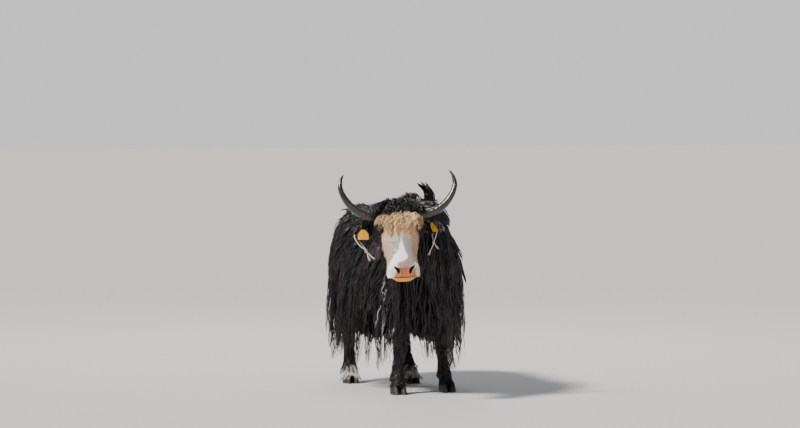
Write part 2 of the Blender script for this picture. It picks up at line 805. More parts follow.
def press_nostril(local, side):
    middle, along, across, out = nostril_frame(side)
    x, y, z = ((local - middle) @ axis for axis in (along, across, out))
    bent = y + NOSTRIL_BEND * x ** 2 - 0.0015
    away = np.sqrt((x / NOSTRIL_LENGTH) ** 2 + (bent / NOSTRIL_WIDTH) ** 2)
    near = abs(z) < 0.030
    sink = fade((1.08 - away) / 0.42) * near
    rim = hill((away, 1.28, 0.26)) * near
    return local + (out * (RIM_HEIGHT * rim - NOSTRIL_DEPTH * sink)[..., None]
                    - DOWN_LOCAL * (NOSTRIL_DROP * sink)[..., None]), sink


def press_socket(local, side):
    centre, aim = EYE * side, EYE_AIM * side
    away = np.linalg.norm(np.cross(local - centre, aim), axis=-1)
    ahead = (local - centre) @ aim
    sink = fade((LID_REACH - 0.003 - away) / 0.010) * (ahead > 0)
    return local - aim * (np.clip(ahead + 0.004, 0, None) * sink)[..., None]


def shape_head(local):
    """Mouth, nostrils and sockets; returns the points, and how deep in a nostril each lies."""
    local = press_mouth(local)
    pit = np.zeros(local.shape[:2])
    for side in BOTH:
        local, sink = press_nostril(local, side)
        pit = np.maximum(pit, sink)
        local = press_socket(local, side)
    return local, pit


head_local, head_pit = shape_head(head_local)
head = on_head(head_local)
print("deepest nostril point:", round(float(head_pit.max()), 2))

# %% [markdown]
# ## Ears, legs and tail
#
# An ear is a cupped leaf: an outer arc and an inner arc at each section. A leg is a stack of
# ovals, wide at the thigh, narrow at the cannon and wide again at the fetlock.

# %% Ears
EAR_ROOT = np.array([0.094, 0.062, -0.105])
EAR_LENGTH = 0.150
EAR_DROOP = {-1: 31.0, 1: 17.0}      # degrees below level, her right and her left
# share of the length, half width, cup depth, thickness
EAR = (
    (-0.16, 0.020, 0.020, 0.016),
    (0.00, 0.022, 0.024, 0.012),
    (0.20, 0.031, 0.024, 0.008),
    (0.45, 0.038, 0.020, 0.007),
    (0.70, 0.033, 0.014, 0.006),
    (0.90, 0.019, 0.007, 0.005),
    (1.00, 0.006, 0.002, 0.004),
)
EAR_RINGS, EAR_ARC = 46, 17
CUP_SWING = math.radians(75)


def ear_frame(side):
    """Along the ear, its front and its upper edge."""
    droop = math.radians(EAR_DROOP[side])
    along = unit(ACROSS * side * math.cos(droop) - HEAD_UP * math.sin(droop) - AHEAD * 0.12)
    front = AHEAD + ACROSS * side * 0.25 - HEAD_UP * 0.15
    front = unit(front - along * np.dot(front, along))
    return along, front, unit(np.cross(along, front) * -side)


def ear_point(side, share, swing):
    """A point on the back of the ear's cup."""
    along, front, edge = ear_frame(side)
    rows = spread(EAR, 8 * (len(EAR) - 1) + 1)
    _, half, cup, _ = rows[abs(rows[:, 0] - share).argmin()]
    bend = swing * CUP_SWING
    return (on_head(EAR_ROOT * (side, 1, 1)) + along * share * EAR_LENGTH
            + edge * half * math.sin(bend) - front * cup * math.cos(bend))


def ear_grid(side):
    along, front, edge = (axis[None, None] for axis in ear_frame(side))
    share, half, cup, thick = spread(EAR, EAR_RINGS).T[..., None]
    bend = np.linspace(-CUP_SWING, CUP_SWING, EAR_ARC)[None]
    thick = thick * 0.8
    outer = edge * (half * np.sin(bend))[..., None] - front * (cup * np.cos(bend))[..., None]
    bend = bend[:, ::-1]
    slim = np.maximum(half - thick * 0.6, half * 0.4)
    level = (cup - thick) * np.cos(bend) - thick * 0.25
    inner = edge * (slim * np.sin(bend))[..., None] - front * level[..., None]
    ring = np.concatenate([outer, inner], 1)
    root = on_head(EAR_ROOT * (side, 1, 1))
    return root + along * (share * EAR_LENGTH)[..., None] + ring


ears = {side: ear_grid(side) for side, _ in HANDS}
print("an ear has", EAR_RINGS, "rings and is", EAR_LENGTH, "m long")

# %% Legs and tail
# height, offset back, half width, half depth
FORELEG = (
    (0.640, -0.010, 0.060, 0.110), (0.520, 0.005, 0.060, 0.096), (0.420, 0.008, 0.051, 0.068),
    (0.345, 0.000, 0.040, 0.049), (0.290, -0.010, 0.040, 0.046), (0.250, -0.004, 0.033, 0.037),
    (0.185, 0.002, 0.027, 0.032), (0.125, 0.002, 0.030, 0.036), (0.093, 0.000, 0.037, 0.042),
    (0.064, -0.014, 0.034, 0.038), (0.045, -0.024, 0.041, 0.045),
)
HINDLEG = (
    (0.680, -0.060, 0.066, 0.150), (0.570, -0.050, 0.064, 0.128), (0.470, -0.020, 0.054, 0.090),
    (0.400, 0.020, 0.044, 0.062), (0.345, 0.042, 0.041, 0.055), (0.290, 0.034, 0.032, 0.042),
    (0.200, 0.014, 0.027, 0.033), (0.128, 0.002, 0.030, 0.036), (0.094, -0.004, 0.037, 0.042),
    (0.064, -0.016, 0.034, 0.038), (0.045, -0.026, 0.041, 0.045),
)
# each leg: the foot and the top on the plan, and its rows
LEGS = {
    "front_right": ((-0.140, -0.235), (-0.080, -0.215), FORELEG),
    "front_left": ((0.155, -0.175), (0.080, -0.200), FORELEG),
    "hind_right": ((-0.150, 0.540), (-0.110, 0.570), HINDLEG),
    "hind_left": ((0.165, 0.430), (0.110, 0.545), HINDLEG),
}
LEG_RINGS, LEG_SIDES = 84, 40
LEG_COAT = 0.003
HOOF_HEIGHT = 0.045
# the dock of the tail: y, z, radius
TAIL = (
    (0.700, 0.880, 0.030), (0.790, 0.872, 0.030), (0.828, 0.810, 0.028), (0.840, 0.720, 0.028),
    (0.842, 0.620, 0.026), (0.842, 0.530, 0.022), (0.840, 0.470, 0.012), (0.840, 0.455, 0.003),
)
TAIL_RINGS = 60


def leg_grid(name):
    foot, top, rows = LEGS[name]
    height, back, half_width, half_depth = spread(rows, LEG_RINGS).T
    share = (height - HOOF_HEIGHT) / (rows[0][0] - HOOF_HEIGHT)
    x = foot[0] + (top[0] - foot[0]) * share
    y = foot[1] + (top[1] - foot[1]) * share + back
    across, along = outline((2.2, 2.2), LEG_SIDES)
    centre = np.stack([x, y, height], 1)[:, None] + SHIFT
    width, depth = (half_width - LEG_COAT)[:, None], (half_depth - LEG_COAT)[:, None]
    return centre + np.stack([across * width, along * depth, 0 * across * width], -1)


legs = {name: leg_grid(name) for name in LEGS}
tail_rows = spread(TAIL, TAIL_RINGS)
tail_line = np.stack([0 * tail_rows[:, 0], tail_rows[:, 0], tail_rows[:, 1]], 1) + SHIFT
tail = tube_grid(tail_line, tail_rows[:, 2], 24)
print("the legs, ears and tail add", 4 * LEG_RINGS + 2 * EAR_RINGS + TAIL_RINGS, "rings")

# %% [markdown]
# ## One skin
#
# A Boolean union makes one closed skin of all these lofts, so no seam shows where a leg or an
# ear leaves the body. Each loft keeps its own box of the chart. The eyelids are rings of skin
# that rise from the socket's edge over the eyeball and stop at an almond-shaped opening.

# %% Joining the skin
BOXES = {"trunk": (0.62, 0.0, 0.37, 0.60), "head": (0.0, 0.0, 0.60, 0.60),
         "tail": (0.78, 0.62, 0.10, 0.36), "ear-1": (0.62, 0.62, 0.14, 0.17),
         "ear1": (0.62, 0.81, 0.14, 0.17)}


def joined_skin(parts):
    """One mesh object, the union of closed lofts."""
    things = [add(bpy.data.objects.new(name, closed(name, loft(name, grid, BOXES[name]))))
              for name, grid in parts.items()]
    group = bpy.data.collections.new("skin_parts")
    for thing in things[1:]:
        group.objects.link(thing)
    union = things[0].modifiers.new("union", "BOOLEAN")
    union.operation, union.solver = "UNION", "MANIFOLD"
    union.operand_type, union.collection = "COLLECTION", group
    graph = bpy.context.evaluated_depsgraph_get()
    mesh = bpy.data.meshes.new_from_object(things[0].evaluated_get(graph))
    for thing in things:
        bpy.data.objects.remove(thing, do_unlink=True)
    bpy.data.collections.remove(group)
    return mesh


for number, name in enumerate(LEGS):
    BOXES[name] = (0.15 * number, 0.62, 0.14, 0.36)
parts = {"trunk": trunk, "head": head, "tail": tail, "ear-1": ears[-1], "ear1": ears[1], **legs}
skin_mesh = joined_skin(parts)
SKIN = Ground(skin_mesh)
BODY = Ground(skin_mesh, [BOXES["ear-1"], BOXES["ear1"]])
print("the skin has", len(skin_mesh.polygons), "faces")

# %% Eyelids
LID_SIDES, LID_RINGS = 64, 20
OPENING = (0.0160, 0.0098, 0.0082)       # half length, and half height above and below


def lid_frame(side):
    """The eye's middle, along its slit, across the slit to the brow, and out of it."""
    aim = (EYE_AIM * side) @ HEAD_AXES[:3]
    slit = unit(DOWN_FACE - aim * np.dot(DOWN_FACE, aim) + AHEAD * 0.25)
    slit = unit(slit - aim * np.dot(slit, aim))
    brow = np.cross(aim, slit)
    brow = brow * np.sign(np.dot(brow, HEAD_UP))
    return on_head(EYE * side), slit, brow, aim


def lid_grid(side):
    """Rings from the rim of the opening out to under the skin of the brow and cheek."""
    centre, slit, brow, aim = lid_frame(side)
    angle = 2 * np.pi * np.arange(LID_SIDES) / LID_SIDES
    x, y = np.cos(angle), np.sin(angle)
    rim = np.stack([OPENING[0] * x, np.where(y > 0, OPENING[1], OPENING[2]) * y], 1)
    edge = np.stack([LID_REACH * x, LID_REACH * y], 1)
    rings = []
    for ring in range(LID_RINGS):
        share = ring / (LID_RINGS - 1)
        flat = rim + (edge - rim) * share
        away = np.linalg.norm(flat, axis=1)
        fold = 0.0034 * math.exp(-((share - 0.22) / 0.10) ** 2)
        crease = -0.0022 * math.exp(-((share - 0.50) / 0.07) ** 2)
        ball = EYE_RADIUS + 0.0006 + 0.0028 * min(1.0, share * 9)
        dome = np.sqrt(np.clip(ball ** 2 - np.minimum(away, ball * 0.93) ** 2, 0, None))
        start = centre + flat[:, :1] * slit + flat[:, 1:] * brow + aim * 0.08
        level = np.array([np.dot(head_ground.hit(point, -aim) - centre, aim) for point in start])
        height = dome + (level - 0.0012 - dome) * fade((share - 0.28) / 0.60)
        height = height + (fold * (1.0 + 0.5 * y) + crease)
        rings.append(centre + flat[:, :1] * slit + flat[:, 1:] * brow + aim * height[:, None])
    inner = centre + (rings[0] - centre) * ((EYE_RADIUS - 0.003) / EYE_RADIUS)
    return np.array([inner] + rings)


def add_lids(mesh):
    """The lids joined to the skin's mesh, with their own corner of the chart."""
    bm = bmesh.new()
    bm.from_mesh(mesh)
    chart = bm.loops.layers.uv["OFBake"]
    for number, side in enumerate(BOTH):
        grid = lid_grid(side)
        rows = [[bm.verts.new(point) for point in ring] for ring in grid]
        for r in range(len(rows) - 1):
            for s in range(LID_SIDES):
                t = (s + 1) % LID_SIDES
                corners = [rows[r][s], rows[r][t], rows[r + 1][t], rows[r + 1][s]]
                face = bm.faces.new(corners if side[0] < 0 else corners[::-1])
                face.smooth = True
                places = [(r, s), (r, s + 1), (r + 1, s + 1), (r + 1, s)]
                for corner, (a, b) in zip(face.loops, places if side[0] < 0 else places[::-1]):
                    corner[chart].uv = (0.90 + 0.08 * b / LID_SIDES,
                                        0.64 + 0.16 * number + 0.14 * a / LID_RINGS)
    bm.to_mesh(mesh)
    bm.free()


add_lids(skin_mesh)
print("with lids the skin has", len(skin_mesh.polygons), "faces")

# %% [markdown]
# ## Markings
#
# Her face is pale and the rest is black, with grey-white hind pasterns. The line between the
# two is given once, as a table, and both the skin and the hair read it: the hair by the place
# of its root, so that a black lock stays black where it falls over the pale face.

# %% Where the pale face ends
# down the face, and how far off the face line the pale hair reaches back
FACE_LINE = ((0.00, -0.035), (0.05, -0.046), (0.10, -0.036), (0.145, -0.026), (0.170, -0.034),
             (0.195, -0.060), (0.225, -0.080), (0.28, -0.100), (0.33, -0.128), (0.40, -0.170),
             (0.45, -0.180))
POLL_LINE = 0.044
GREY = 2.0                       # the chance number of a grey lock


def pale_share(places):
    """1 where hair or skin is pale, 0 where it is black."""
    _, u, o = off_head(places).T
    line = np.interp(u, *zip(*FACE_LINE))
    behind = (o - line) / 0.010
    return fade(np.minimum(behind, (u - POLL_LINE) / 0.008) * 0.5 + 0.5)


def mark_skin(mesh):
    """What the shaders read: the place, no chance or reach, and the depth in a nostril."""
    points = np.zeros(len(mesh.vertices) * 3, np.float32)
    mesh.vertices.foreach_get("co", points)
    points = points.reshape(-1, 3)
    pit = np.zeros(len(points))
    deep = np.concatenate([head[head_pit > 0.02], head[:1, 0]])
    depth = np.concatenate([head_pit[head_pit > 0.02], [0.0]])
    near_nose = np.linalg.norm(points - on_head((0, 0.40, -0.02)), axis=1) < 0.09
    for i in np.where(near_nose)[0]:
        gap = np.linalg.norm(deep - points[i], axis=1)
        if gap.min() < 0.002:
            pit[i] = depth[gap.argmin()]
    mark(mesh, root=points, chance=np.full(len(points), 0.5), reach=np.zeros(len(points)), pit=pit)


mark_skin(skin_mesh)
skin_mesh.shade_smooth()
print("markings are set")

# %% [markdown]
# ## The colours of skin and coat
#
# Both finishes read the same signals: the place of the root in head coordinates, and a chance
# number for each lock. A mask fades one colour into the next where a signal passes a line, and
# a little noise makes that line sway. `bare` is 1 on the skin and 0 on the hair.

# %% Black coat, brow and nose
SHOULDER = np.array([-0.16, -0.17, 0.95]) + SHIFT        # the middle of a brown patch
# down the face: the middle of the white blaze, and half its width
BLAZE_MIDDLE = ((0.18, -0.002), (0.232, -0.004), (0.278, -0.007), (0.297, -0.010),
                (0.324, -0.018), (0.362, -0.046), (0.40, -0.060))
BLAZE_HALF = ((0.18, 0.0), (0.205, 0.002), (0.232, 0.006), (0.278, 0.016), (0.297, 0.024),
              (0.324, 0.042), (0.362, 0.034), (0.380, 0.022), (0.40, 0.014))


def signals_of(finish):
    """What the masks read: the root's place, head coordinates and chance, and a fine noise."""
    place = finish.attribute("root", "Vector")
    a, u, o = (finish.along(place, axis, POLL) for axis in (ACROSS, DOWN_FACE, OFF_FACE))
    fine = finish.noise(place, 70.0, 3.0)
    return SimpleNamespace(place=place, a=a, u=u, o=o, fine=fine, sway=(fine - 0.5) * 0.014,
                           chance=finish.attribute("chance"), reach=finish.attribute("reach"))


def black_hair(finish, at):
    """Black: browner in some locks, at the tips and on her right shoulder, with grey socks."""
    shoulder = finish.distance(at.place, SHOULDER).step(0.23, 0.08)
    blotch = (finish.noise(at.place, 9.0) - 0.5) * 1.3
    rusty = at.chance.step(0.35, 1.0) * 0.35 + at.reach * 0.20 + blotch
    black = finish.mix(rusty.step(0.0, 1.0), (4, 4, 5), (44, 34, 36))
    black = finish.mix(shoulder * at.chance.step(0.1, 0.8) * 0.75, black, (92, 68, 74))
    black = finish.mix(at.chance.step(1.3, 1.6), black, (168, 166, 172))
    behind, level = (finish.along(at.place, axis, SHIFT) for axis in ((0, 1, 0), (0, 0, 1)))
    socks = (level + at.sway * 2).step(0.104, 0.084) * behind.step(0.2, 0.3)
    return finish.mix(socks, black, finish.mix(at.chance, (166, 158, 154), (218, 213, 208)))


def brow_and_nose(finish, at, bare):
    """A tan brow, a grey nose between browner sides, and a white blaze."""
    a, u, sway, fine = at.a, at.u, at.sway, at.fine
    brow = finish.mix(fine, (190, 140, 106), (224, 180, 146))
    brow = finish.mix((u + sway).step(0.185, 0.135) * bare * 0.8, brow, (92, 60, 44))
    left = finish.mix(fine, (190, 136, 102), (216, 168, 134))
    right = finish.mix(fine.step(0.3, 0.7), (132, 120, 112), (190, 176, 164))
    grey = finish.mix(fine, (112, 104, 101), (170, 160, 154))
    nose = finish.mix((a + sway).step(0.050, 0.074), grey, left)
    nose = finish.mix((a + sway).step(0.000, -0.028), nose, right)
    strip = (a + sway).step(-0.038, -0.078) * u.step(0.20, 0.25)
    nose = finish.mix(strip * 0.75, nose, (184, 146, 118))
    pale = finish.mix((u + sway).step(0.175, 0.230), brow, nose)
    away = (a - u.table(BLAZE_MIDDLE) + sway * 0.9).size()
    blaze = (u.table(BLAZE_HALF) - away).step(-0.005, 0.006) * u.step(0.185, 0.21)
    return finish.mix(blaze, pale, (250, 248, 246))


print("the blaze is", 2 * max(half for _, half in BLAZE_HALF), "m wide")


# %% Muzzle, fringe and the two finishes
def muzzle(finish, at, bare, pale):
    """Cream sides, a brown spot above, a damp pad, tan lips and the dark seam of the mouth."""
    a, u, sway, fine = at.a, at.u, at.sway, at.fine
    flews = (a.size() + sway).step(0.050, 0.066) * u.step(0.33, 0.37)
    cream = finish.mix(a.step(-0.02, 0.02), (248, 242, 236), (240, 212, 190))
    pale = finish.mix(flews, pale, cream)
    down = u + sway * 0.5 - 0.368
    spot = (a * a / 0.040 ** 2 + down * down / 0.024 ** 2).step(1.30, 0.50)
    pale = finish.mix(spot, pale, finish.mix(fine, (138, 104, 92), (178, 146, 132)))
    pad = (u + sway * 1.2).step(0.398, 0.424) * (a.size() + sway * 1.5).step(0.068, 0.046)
    pad = pad + (a.size() + sway * 1.2).step(0.044, 0.026) * (u + sway).step(0.374, 0.396)
    damp = finish.mix(u.step(0.388, 0.420), finish.mix(fine, (108, 66, 54), (158, 106, 84)),
                      finish.mix(fine, (182, 92, 42), (212, 130, 72)))
    pale = finish.mix(pad.step(0.0, 0.9), pale, damp)
    rise = u.step(RISE_START, RISE_START + RISE_RAMP) * MOUTH_RISE
    over = at.o - MOUTH_LEVEL - (u - MOUTH_BACK) * MOUTH_SLOPE - rise
    lip = (over + sway * 0.3).step(0.003, -0.001) * u.step(0.360, 0.395)
    lip = lip * a.size().step(0.068, 0.058)
    pale = finish.mix(lip, pale, finish.mix(fine, (222, 130, 54), (246, 178, 96)))
    seam = over.size().step(0.0034, 0.0012) * u.step(MOUTH_BACK, MOUTH_BACK + 0.015)
    return finish.mix(seam * bare, pale, (44, 20, 15))


def hair_colour(finish, bare):
    """The colour at a root, how much of it is the pale face's, and the signals."""
    at = signals_of(finish)
    u, o, sway = at.u, at.o, at.sway
    pale = muzzle(finish, at, bare, brow_and_nose(finish, at, bare))
    # the fringe is dark at its roots, and cream where the sun has bleached it
    cream = finish.mix(at.chance, (146, 98, 54), (240, 212, 160))
    ringlet = finish.mix(at.reach.step(0.0, 0.40), (92, 62, 42), cream)
    pale = finish.mix((u + sway * 0.3).step(0.096, 0.084), pale, ringlet)
    # black behind the line, on the poll, on the chin, round the eyes and off the head
    marked = (o - u.table(FACE_LINE) + sway).step(-0.005, 0.005)
    marked = marked * (u + sway).step(POLL_LINE - 0.004, POLL_LINE + 0.004)
    marked = marked * (1 - (o + sway).step(-0.112, -0.122))
    for side in BOTH:
        ring = finish.distance(at.place, on_head(EYE * side))
        marked = marked * (ring + sway * 0.3).step(0.0270, 0.0320)
    marked = marked * finish.distance(at.place, on_head((0, 0.2, -0.08))).step(0.34, 0.33)
    return finish.mix(marked, black_hair(finish, at), pale), marked, at


def coat_finish():
    coat = Finish("yak_coat", Specular_IOR_Level=0.55)
    colour, pale, at = hair_colour(coat, 0.0)
    coat.set(Base_Color=colour, Roughness=0.27 + at.chance.step(0.0, 1.0) * 0.14 + pale * 0.32)
    return coat


def skin_finish():
    """The same colours on the skin, with a nap of short hair, a damp nose and pink nostrils."""
    skin = Finish("yak_skin", Specular_IOR_Level=0.4)
    colour, _, at = hair_colour(skin, 1.0)
    pit = skin.attribute("pit")
    nap = skin.noise(skin.joined(at.a * 900, at.u * 160, at.o * 900), 1.0, 3.0)
    grain = skin.noise(at.place, 420.0)
    wet = at.u.step(0.390, 0.410) * at.a.size().step(0.062, 0.046)
    colour = skin.mix(pit.step(0.0, 0.12) * 0.7, colour, (186, 108, 78))
    skin.set(Base_Color=skin.mix(pit.step(0.15, 0.75), colour, (84, 36, 26)),
             Roughness=0.62 - wet * 0.22)
    skin.bump(nap * (1 - wet) + grain * wet * 0.7, 0.55, 0.0016)
    return skin


COAT = coat_finish()
skin_piece = piece("skin", skin_mesh, skin_finish(), "black_coat",
                   ["torso", "neck", "head", "tail", "ear_left", "ear_right"]
                   + ["leg_" + name for name in LEGS])
print("the skin stands for", len(skin_piece["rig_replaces"]), "pieces of the carving")

# %% [markdown]
# ## Growing locks
#
# Real hair can't be exported as hair, so every lock is a thin solid: a flat, tapered strap
# with three sides. Roots are scattered over a loft by area and by how dense the hair is. From
# each root a line is combed over the skin step by step, turning down as it gets heavy, and it
# is pushed out wherever it would enter the body. Then the lines are waved and drawn together
# into hanks.


# %% Roots
class Roots(SimpleNamespace):
    """Places where hair grows: rows of place, normal, ring, swing, chart and head_way."""

    def only(self, keep):
        return Roots(**{name: rows[keep] for name, rows in vars(self).items()})


def swing_of(turn):
    """Degrees from the top to her left, for a share of a turn from her left over the top."""
    return (90 - turn * 360 + 180) % 360 - 180


def scatter(grid, count, density, seed):
    """Roots over a loft: ring runs 0 to 1 along it, swing is degrees from its top to its left."""
    rng = np.random.default_rng(seed)
    rings, sides = grid.shape[:2]
    wrapped, turned = (np.concatenate([rows, rows[:, :1]], 1) for rows in (grid, outward(grid)))
    area = np.linalg.norm(np.cross(wrapped[1:, 1:] - wrapped[:-1, :-1],
                                   wrapped[1:, :-1] - wrapped[:-1, 1:]), axis=-1) / 2
    ring = (np.arange(rings - 1) + 0.5) / (rings - 1)
    side = (np.arange(sides) + 0.5) / sides
    ring, side = np.meshgrid(ring, side, indexing="ij")
    swing = swing_of(side)
    weight = area * density(ring, swing, (wrapped[1:, 1:] + wrapped[:-1, :-1]) / 2)
    picked = rng.choice(weight.size, count, p=weight.ravel() / weight.sum())
    r, s = np.divmod(picked, sides)
    p, q = rng.random(count), rng.random(count)

    def read(table):
        near = table[r, s] * (1 - q)[:, None] + table[r, s + 1] * q[:, None]
        far = table[r + 1, s] * (1 - q)[:, None] + table[r + 1, s + 1] * q[:, None]
        return near * (1 - p)[:, None] + far * p[:, None], far - near

    place, head_way = read(wrapped)
    chart = np.stack([(s + q) / sides, (r + p) / (rings - 1)], 1)
    return Roots(place=place, normal=unit(read(turned)[0]), ring=chart[:, 1],
                 swing=swing_of(chart[:, 0]), chart=chart, head_way=unit(head_way))


print("roots are ready")


# %% Combing, waving and clumping
THICKNESS = 0.42                 # of a lock, as a share of its width
MOST_PUSH = 0.06                 # the farthest that one step is pushed off the skin
NEAR_SKIN = 0.10                 # the skin turns a lock that is nearer than this


def column(value, count):
    return np.broadcast_to(np.asarray(value, float).reshape(-1, 1), (count, 1))


def grow(roots, lie, length, width, lift, seed, hang=0.2, stand=0.2, steps=7, wave=0.004,
         wavelength=0.06, pull=0.5, hank=10, sink=0.006, curl=0.0, floor=0.008, fall=DOWN,
         ground=None, thickness=THICKNESS, stray=1.0):
    """Combs one lock from each root. Sizes are numbers, or one for each root."""
    ground = ground or BODY
    rng = np.random.default_rng(seed)
    count = len(roots.place)
    length, width, lift, hang, stand = (column(value, count)
                                        for value in (length, width, lift, hang, stand))
    guides = rng.choice(count, max(1, count // hank), replace=False)
    guide = np.concatenate([
        guides[((part[:, None] - roots.place[guides][None]) ** 2).sum(-1).argmin(1)]
        for part in np.array_split(roots.place, max(1, count // 2000))])
    own = rng.uniform(0.85, 1.15, count)[:, None]
    length = length * (own * 0.5 + rng.uniform(0.70, 1.30, count)[guide][:, None] * 0.5)
    phase = rng.uniform(0, 2 * np.pi, count)
    phase = (phase[guide] + rng.uniform(-0.8, 0.8, count))[:, None]
    normal = roots.normal
    own, shared = rng.normal(0, 0.12, (count, 3)), rng.normal(0, 0.20, (count, 3))[guide]
    lie = unit(lie + (own + shared) * stray)
    lift = lift * rng.uniform(0.35, 1.7, count)[guide][:, None]
    heading = unit(lie - normal * dot(lie, normal) + normal * stand)
    place = roots.place
    lines, faces = [place - normal * sink], [normal]
    for step in range(1, steps + 1):
        heading = unit(heading * (1 - hang) + fall * hang)
        place = place + heading * (length / steps)
        _, out, gap = ground.nearest(place)
        place = place + out * np.clip(lift * step / steps - gap, 0, MOST_PUSH)
        normal = unit(np.where(gap < NEAR_SKIN, normal * 0.4 + out * 0.6, normal))
        lines.append(place)
        faces.append(normal)
    lines, faces = np.stack(lines, 1), np.stack(faces, 1)
    share = np.linspace(0, 1, steps + 1)[None, :, None]
    along = unit(np.gradient(lines, axis=1))
    across = unit(np.cross(along, faces))
    waves = length / wavelength * rng.uniform(0.65, 1.35, count)[guide][:, None]
    turn = 2 * np.pi * share * waves[:, None] + phase[:, None]
    grown = np.minimum(1, share * 4)
    lines = lines + across * (wave * np.sin(turn) * grown)
    lines = lines + faces * ((wave * 0.45 + curl) * np.cos(turn) * grown)
    lines = lines + across * (curl * np.sin(turn) * grown)
    lines = lines + (lines[guide] - lines) * (pull * share ** 1.4)
    lines[..., 2] = np.maximum(lines[..., 2], floor)
    return SimpleNamespace(roots=roots, lines=lines, faces=faces, width=width,
                           chance=rng.random(count), thickness=thickness)


print("a lock is", THICKNESS, "times as thick as it is wide")


# %% Locks as meshes
TUFT_PATCH = 0.003               # the room of one lock on the chart
CHART_SHARE, CHART_EDGE = 0.985, 0.005


def locks_of(hair, keep, chart):
    """The data of some locks' mesh: points, corners, chart, roots, chances and reaches."""
    lines, faces, width = hair.lines[keep], hair.faces[keep], hair.width[keep]
    count, steps = lines.shape[0], lines.shape[1] - 1
    share = np.arange(steps) / steps
    taper = np.minimum(1, 0.55 + share * 2.0) * (1 - share ** 2.2) ** 0.8
    along = unit(np.gradient(lines, axis=1))
    across = unit(np.cross(along, faces))
    ridge = np.cross(across, along)
    half = (width * taper)[..., None] / 2
    base, across, ridge = lines[:, :-1], across[:, :-1], ridge[:, :-1]
    rows = np.stack([base - across * half, base + across * half,
                     base + ridge * half * 2 * hair.thickness], 2)
    points = np.concatenate([rows.reshape(count, -1, 3), lines[:, -1:]], 1)
    tip = 3 * steps
    tris = [(0, 1, 2)]
    for c in range(3):
        d = (c + 1) % 3
        for row in range(0, tip - 3, 3):
            tris += [(row + c, row + 3 + c, row + 3 + d), (row + c, row + 3 + d, row + d)]
        tris.append((tip - 3 + c, tip, tip - 3 + d))
    tris = np.array(tris)
    per = tip + 1
    corners = (tris[None] + (np.arange(count) * per)[:, None, None]).reshape(-1)
    spot_x = np.concatenate([np.tile([-0.5, 0.5, 0.0], steps), [0.0]]) * TUFT_PATCH
    spot_y = np.concatenate([np.repeat(share, 3), [1.0]]) * TUFT_PATCH
    spots = chart[:, None] + np.stack([spot_x, spot_y], 1)[None]
    reach = np.broadcast_to(spot_y / TUFT_PATCH, (count, per))
    root = np.broadcast_to(hair.roots.place[keep][:, None], (count, per, 3))
    chance = np.broadcast_to(hair.chance[keep][:, None], (count, per))
    return (points.reshape(-1, 3), corners, spots.reshape(-1, 2)[corners],
            root.reshape(-1, 3), chance.ravel(), reach.ravel())


COAT_TRIANGLES = {}


def dress(name, *growths, slot="black_coat", smooth=True):
    """One coat piece that shares a chart, from hair or from (hair, which locks) pairs."""
    growths = [growth if isinstance(growth, tuple) else (growth, slice(None))
               for growth in growths]
    found = np.concatenate([hair.roots.chart[keep] for hair, keep in growths])
    low, span = found.min(0), np.ptp(found, 0) + 1e-6
    made = [locks_of(hair, keep, (hair.roots.chart[keep] - low) / span * CHART_SHARE + CHART_EDGE)
            for hair, keep in growths]
    starts = np.cumsum([0] + [len(data[0]) for data in made])
    corners = np.concatenate([data[1] + start for data, start in zip(made, starts)])
    points, _, chart, root, chance, reach = map(np.concatenate, zip(*made))
    count = len(corners) // 3
    mesh = mesh_of(name, points, corners, np.full(count, 3), chart)
    mark(mesh, root=root, chance=chance, reach=reach)
    mesh.polygons.foreach_set("use_smooth", [smooth] * count)
    COAT_TRIANGLES[name] = count
    print(name, "has", len(found), "locks and", count, "triangles")
    piece(name, mesh, COAT, slot)


print("combs are ready")

# %% [markdown]
# ## The long coat of the trunk
#
# Hair is short along the spine and gets longer down the side, until it hangs as a skirt over
# the tops of the legs. A table by the angle from the spine gives its length, lift, weight and
# lean. The locks are laid in two layers: broad hanks that cover, and thin wisps that break
# the outline.

# %% Rules of the long coat
SWING = (0, 20, 50, 78, 104, 125, 150, 180)
RULES = {
    "length": (0.085, 0.110, 0.165, 0.215, 0.235, 0.215, 0.160, 0.130),
    "lift": (0.030, 0.034, 0.040, 0.050, 0.055, 0.045, 0.030, 0.020),
    "hang": (0.02, 0.04, 0.10, 0.16, 0.22, 0.30, 0.40, 0.40),
    "stand": (0.30, 0.25, 0.18, 0.24, 0.46, 0.30, 0.10, 0.05),
    "lean": (0.85, 0.70, 0.45, 0.25, 0.12, 0.08, 0.0, 0.0),
    "density": (1.3, 1.3, 1.15, 1.0, 1.0, 0.8, 0.35, 0.35),
}
LENGTH_ALONG = ((0, 1.5, 3, 8, 9, 10.5, 13), (0.85, 1, 1, 1, 1.15, 1.1, 0.62))
CALM_NECK, CALM_SIDE = 0.92, 0.55    # how much flatter hair lies on the neck and her right side
SLEEK_FRONT = 0.65               # how much less it waves on the chest
LOWEST_TIP = 0.10                # no lock of the trunk hangs lower than this


def trunk_density(ring, swing, place):
    """Few roots on the belly between the legs, where a mass of hair would never show."""
    by_ring = np.interp(ring, (0, 0.03, 0.95, 1), (1, 1, 1, 0.4))
    return np.interp(abs(swing), SWING, RULES["density"]) * by_ring


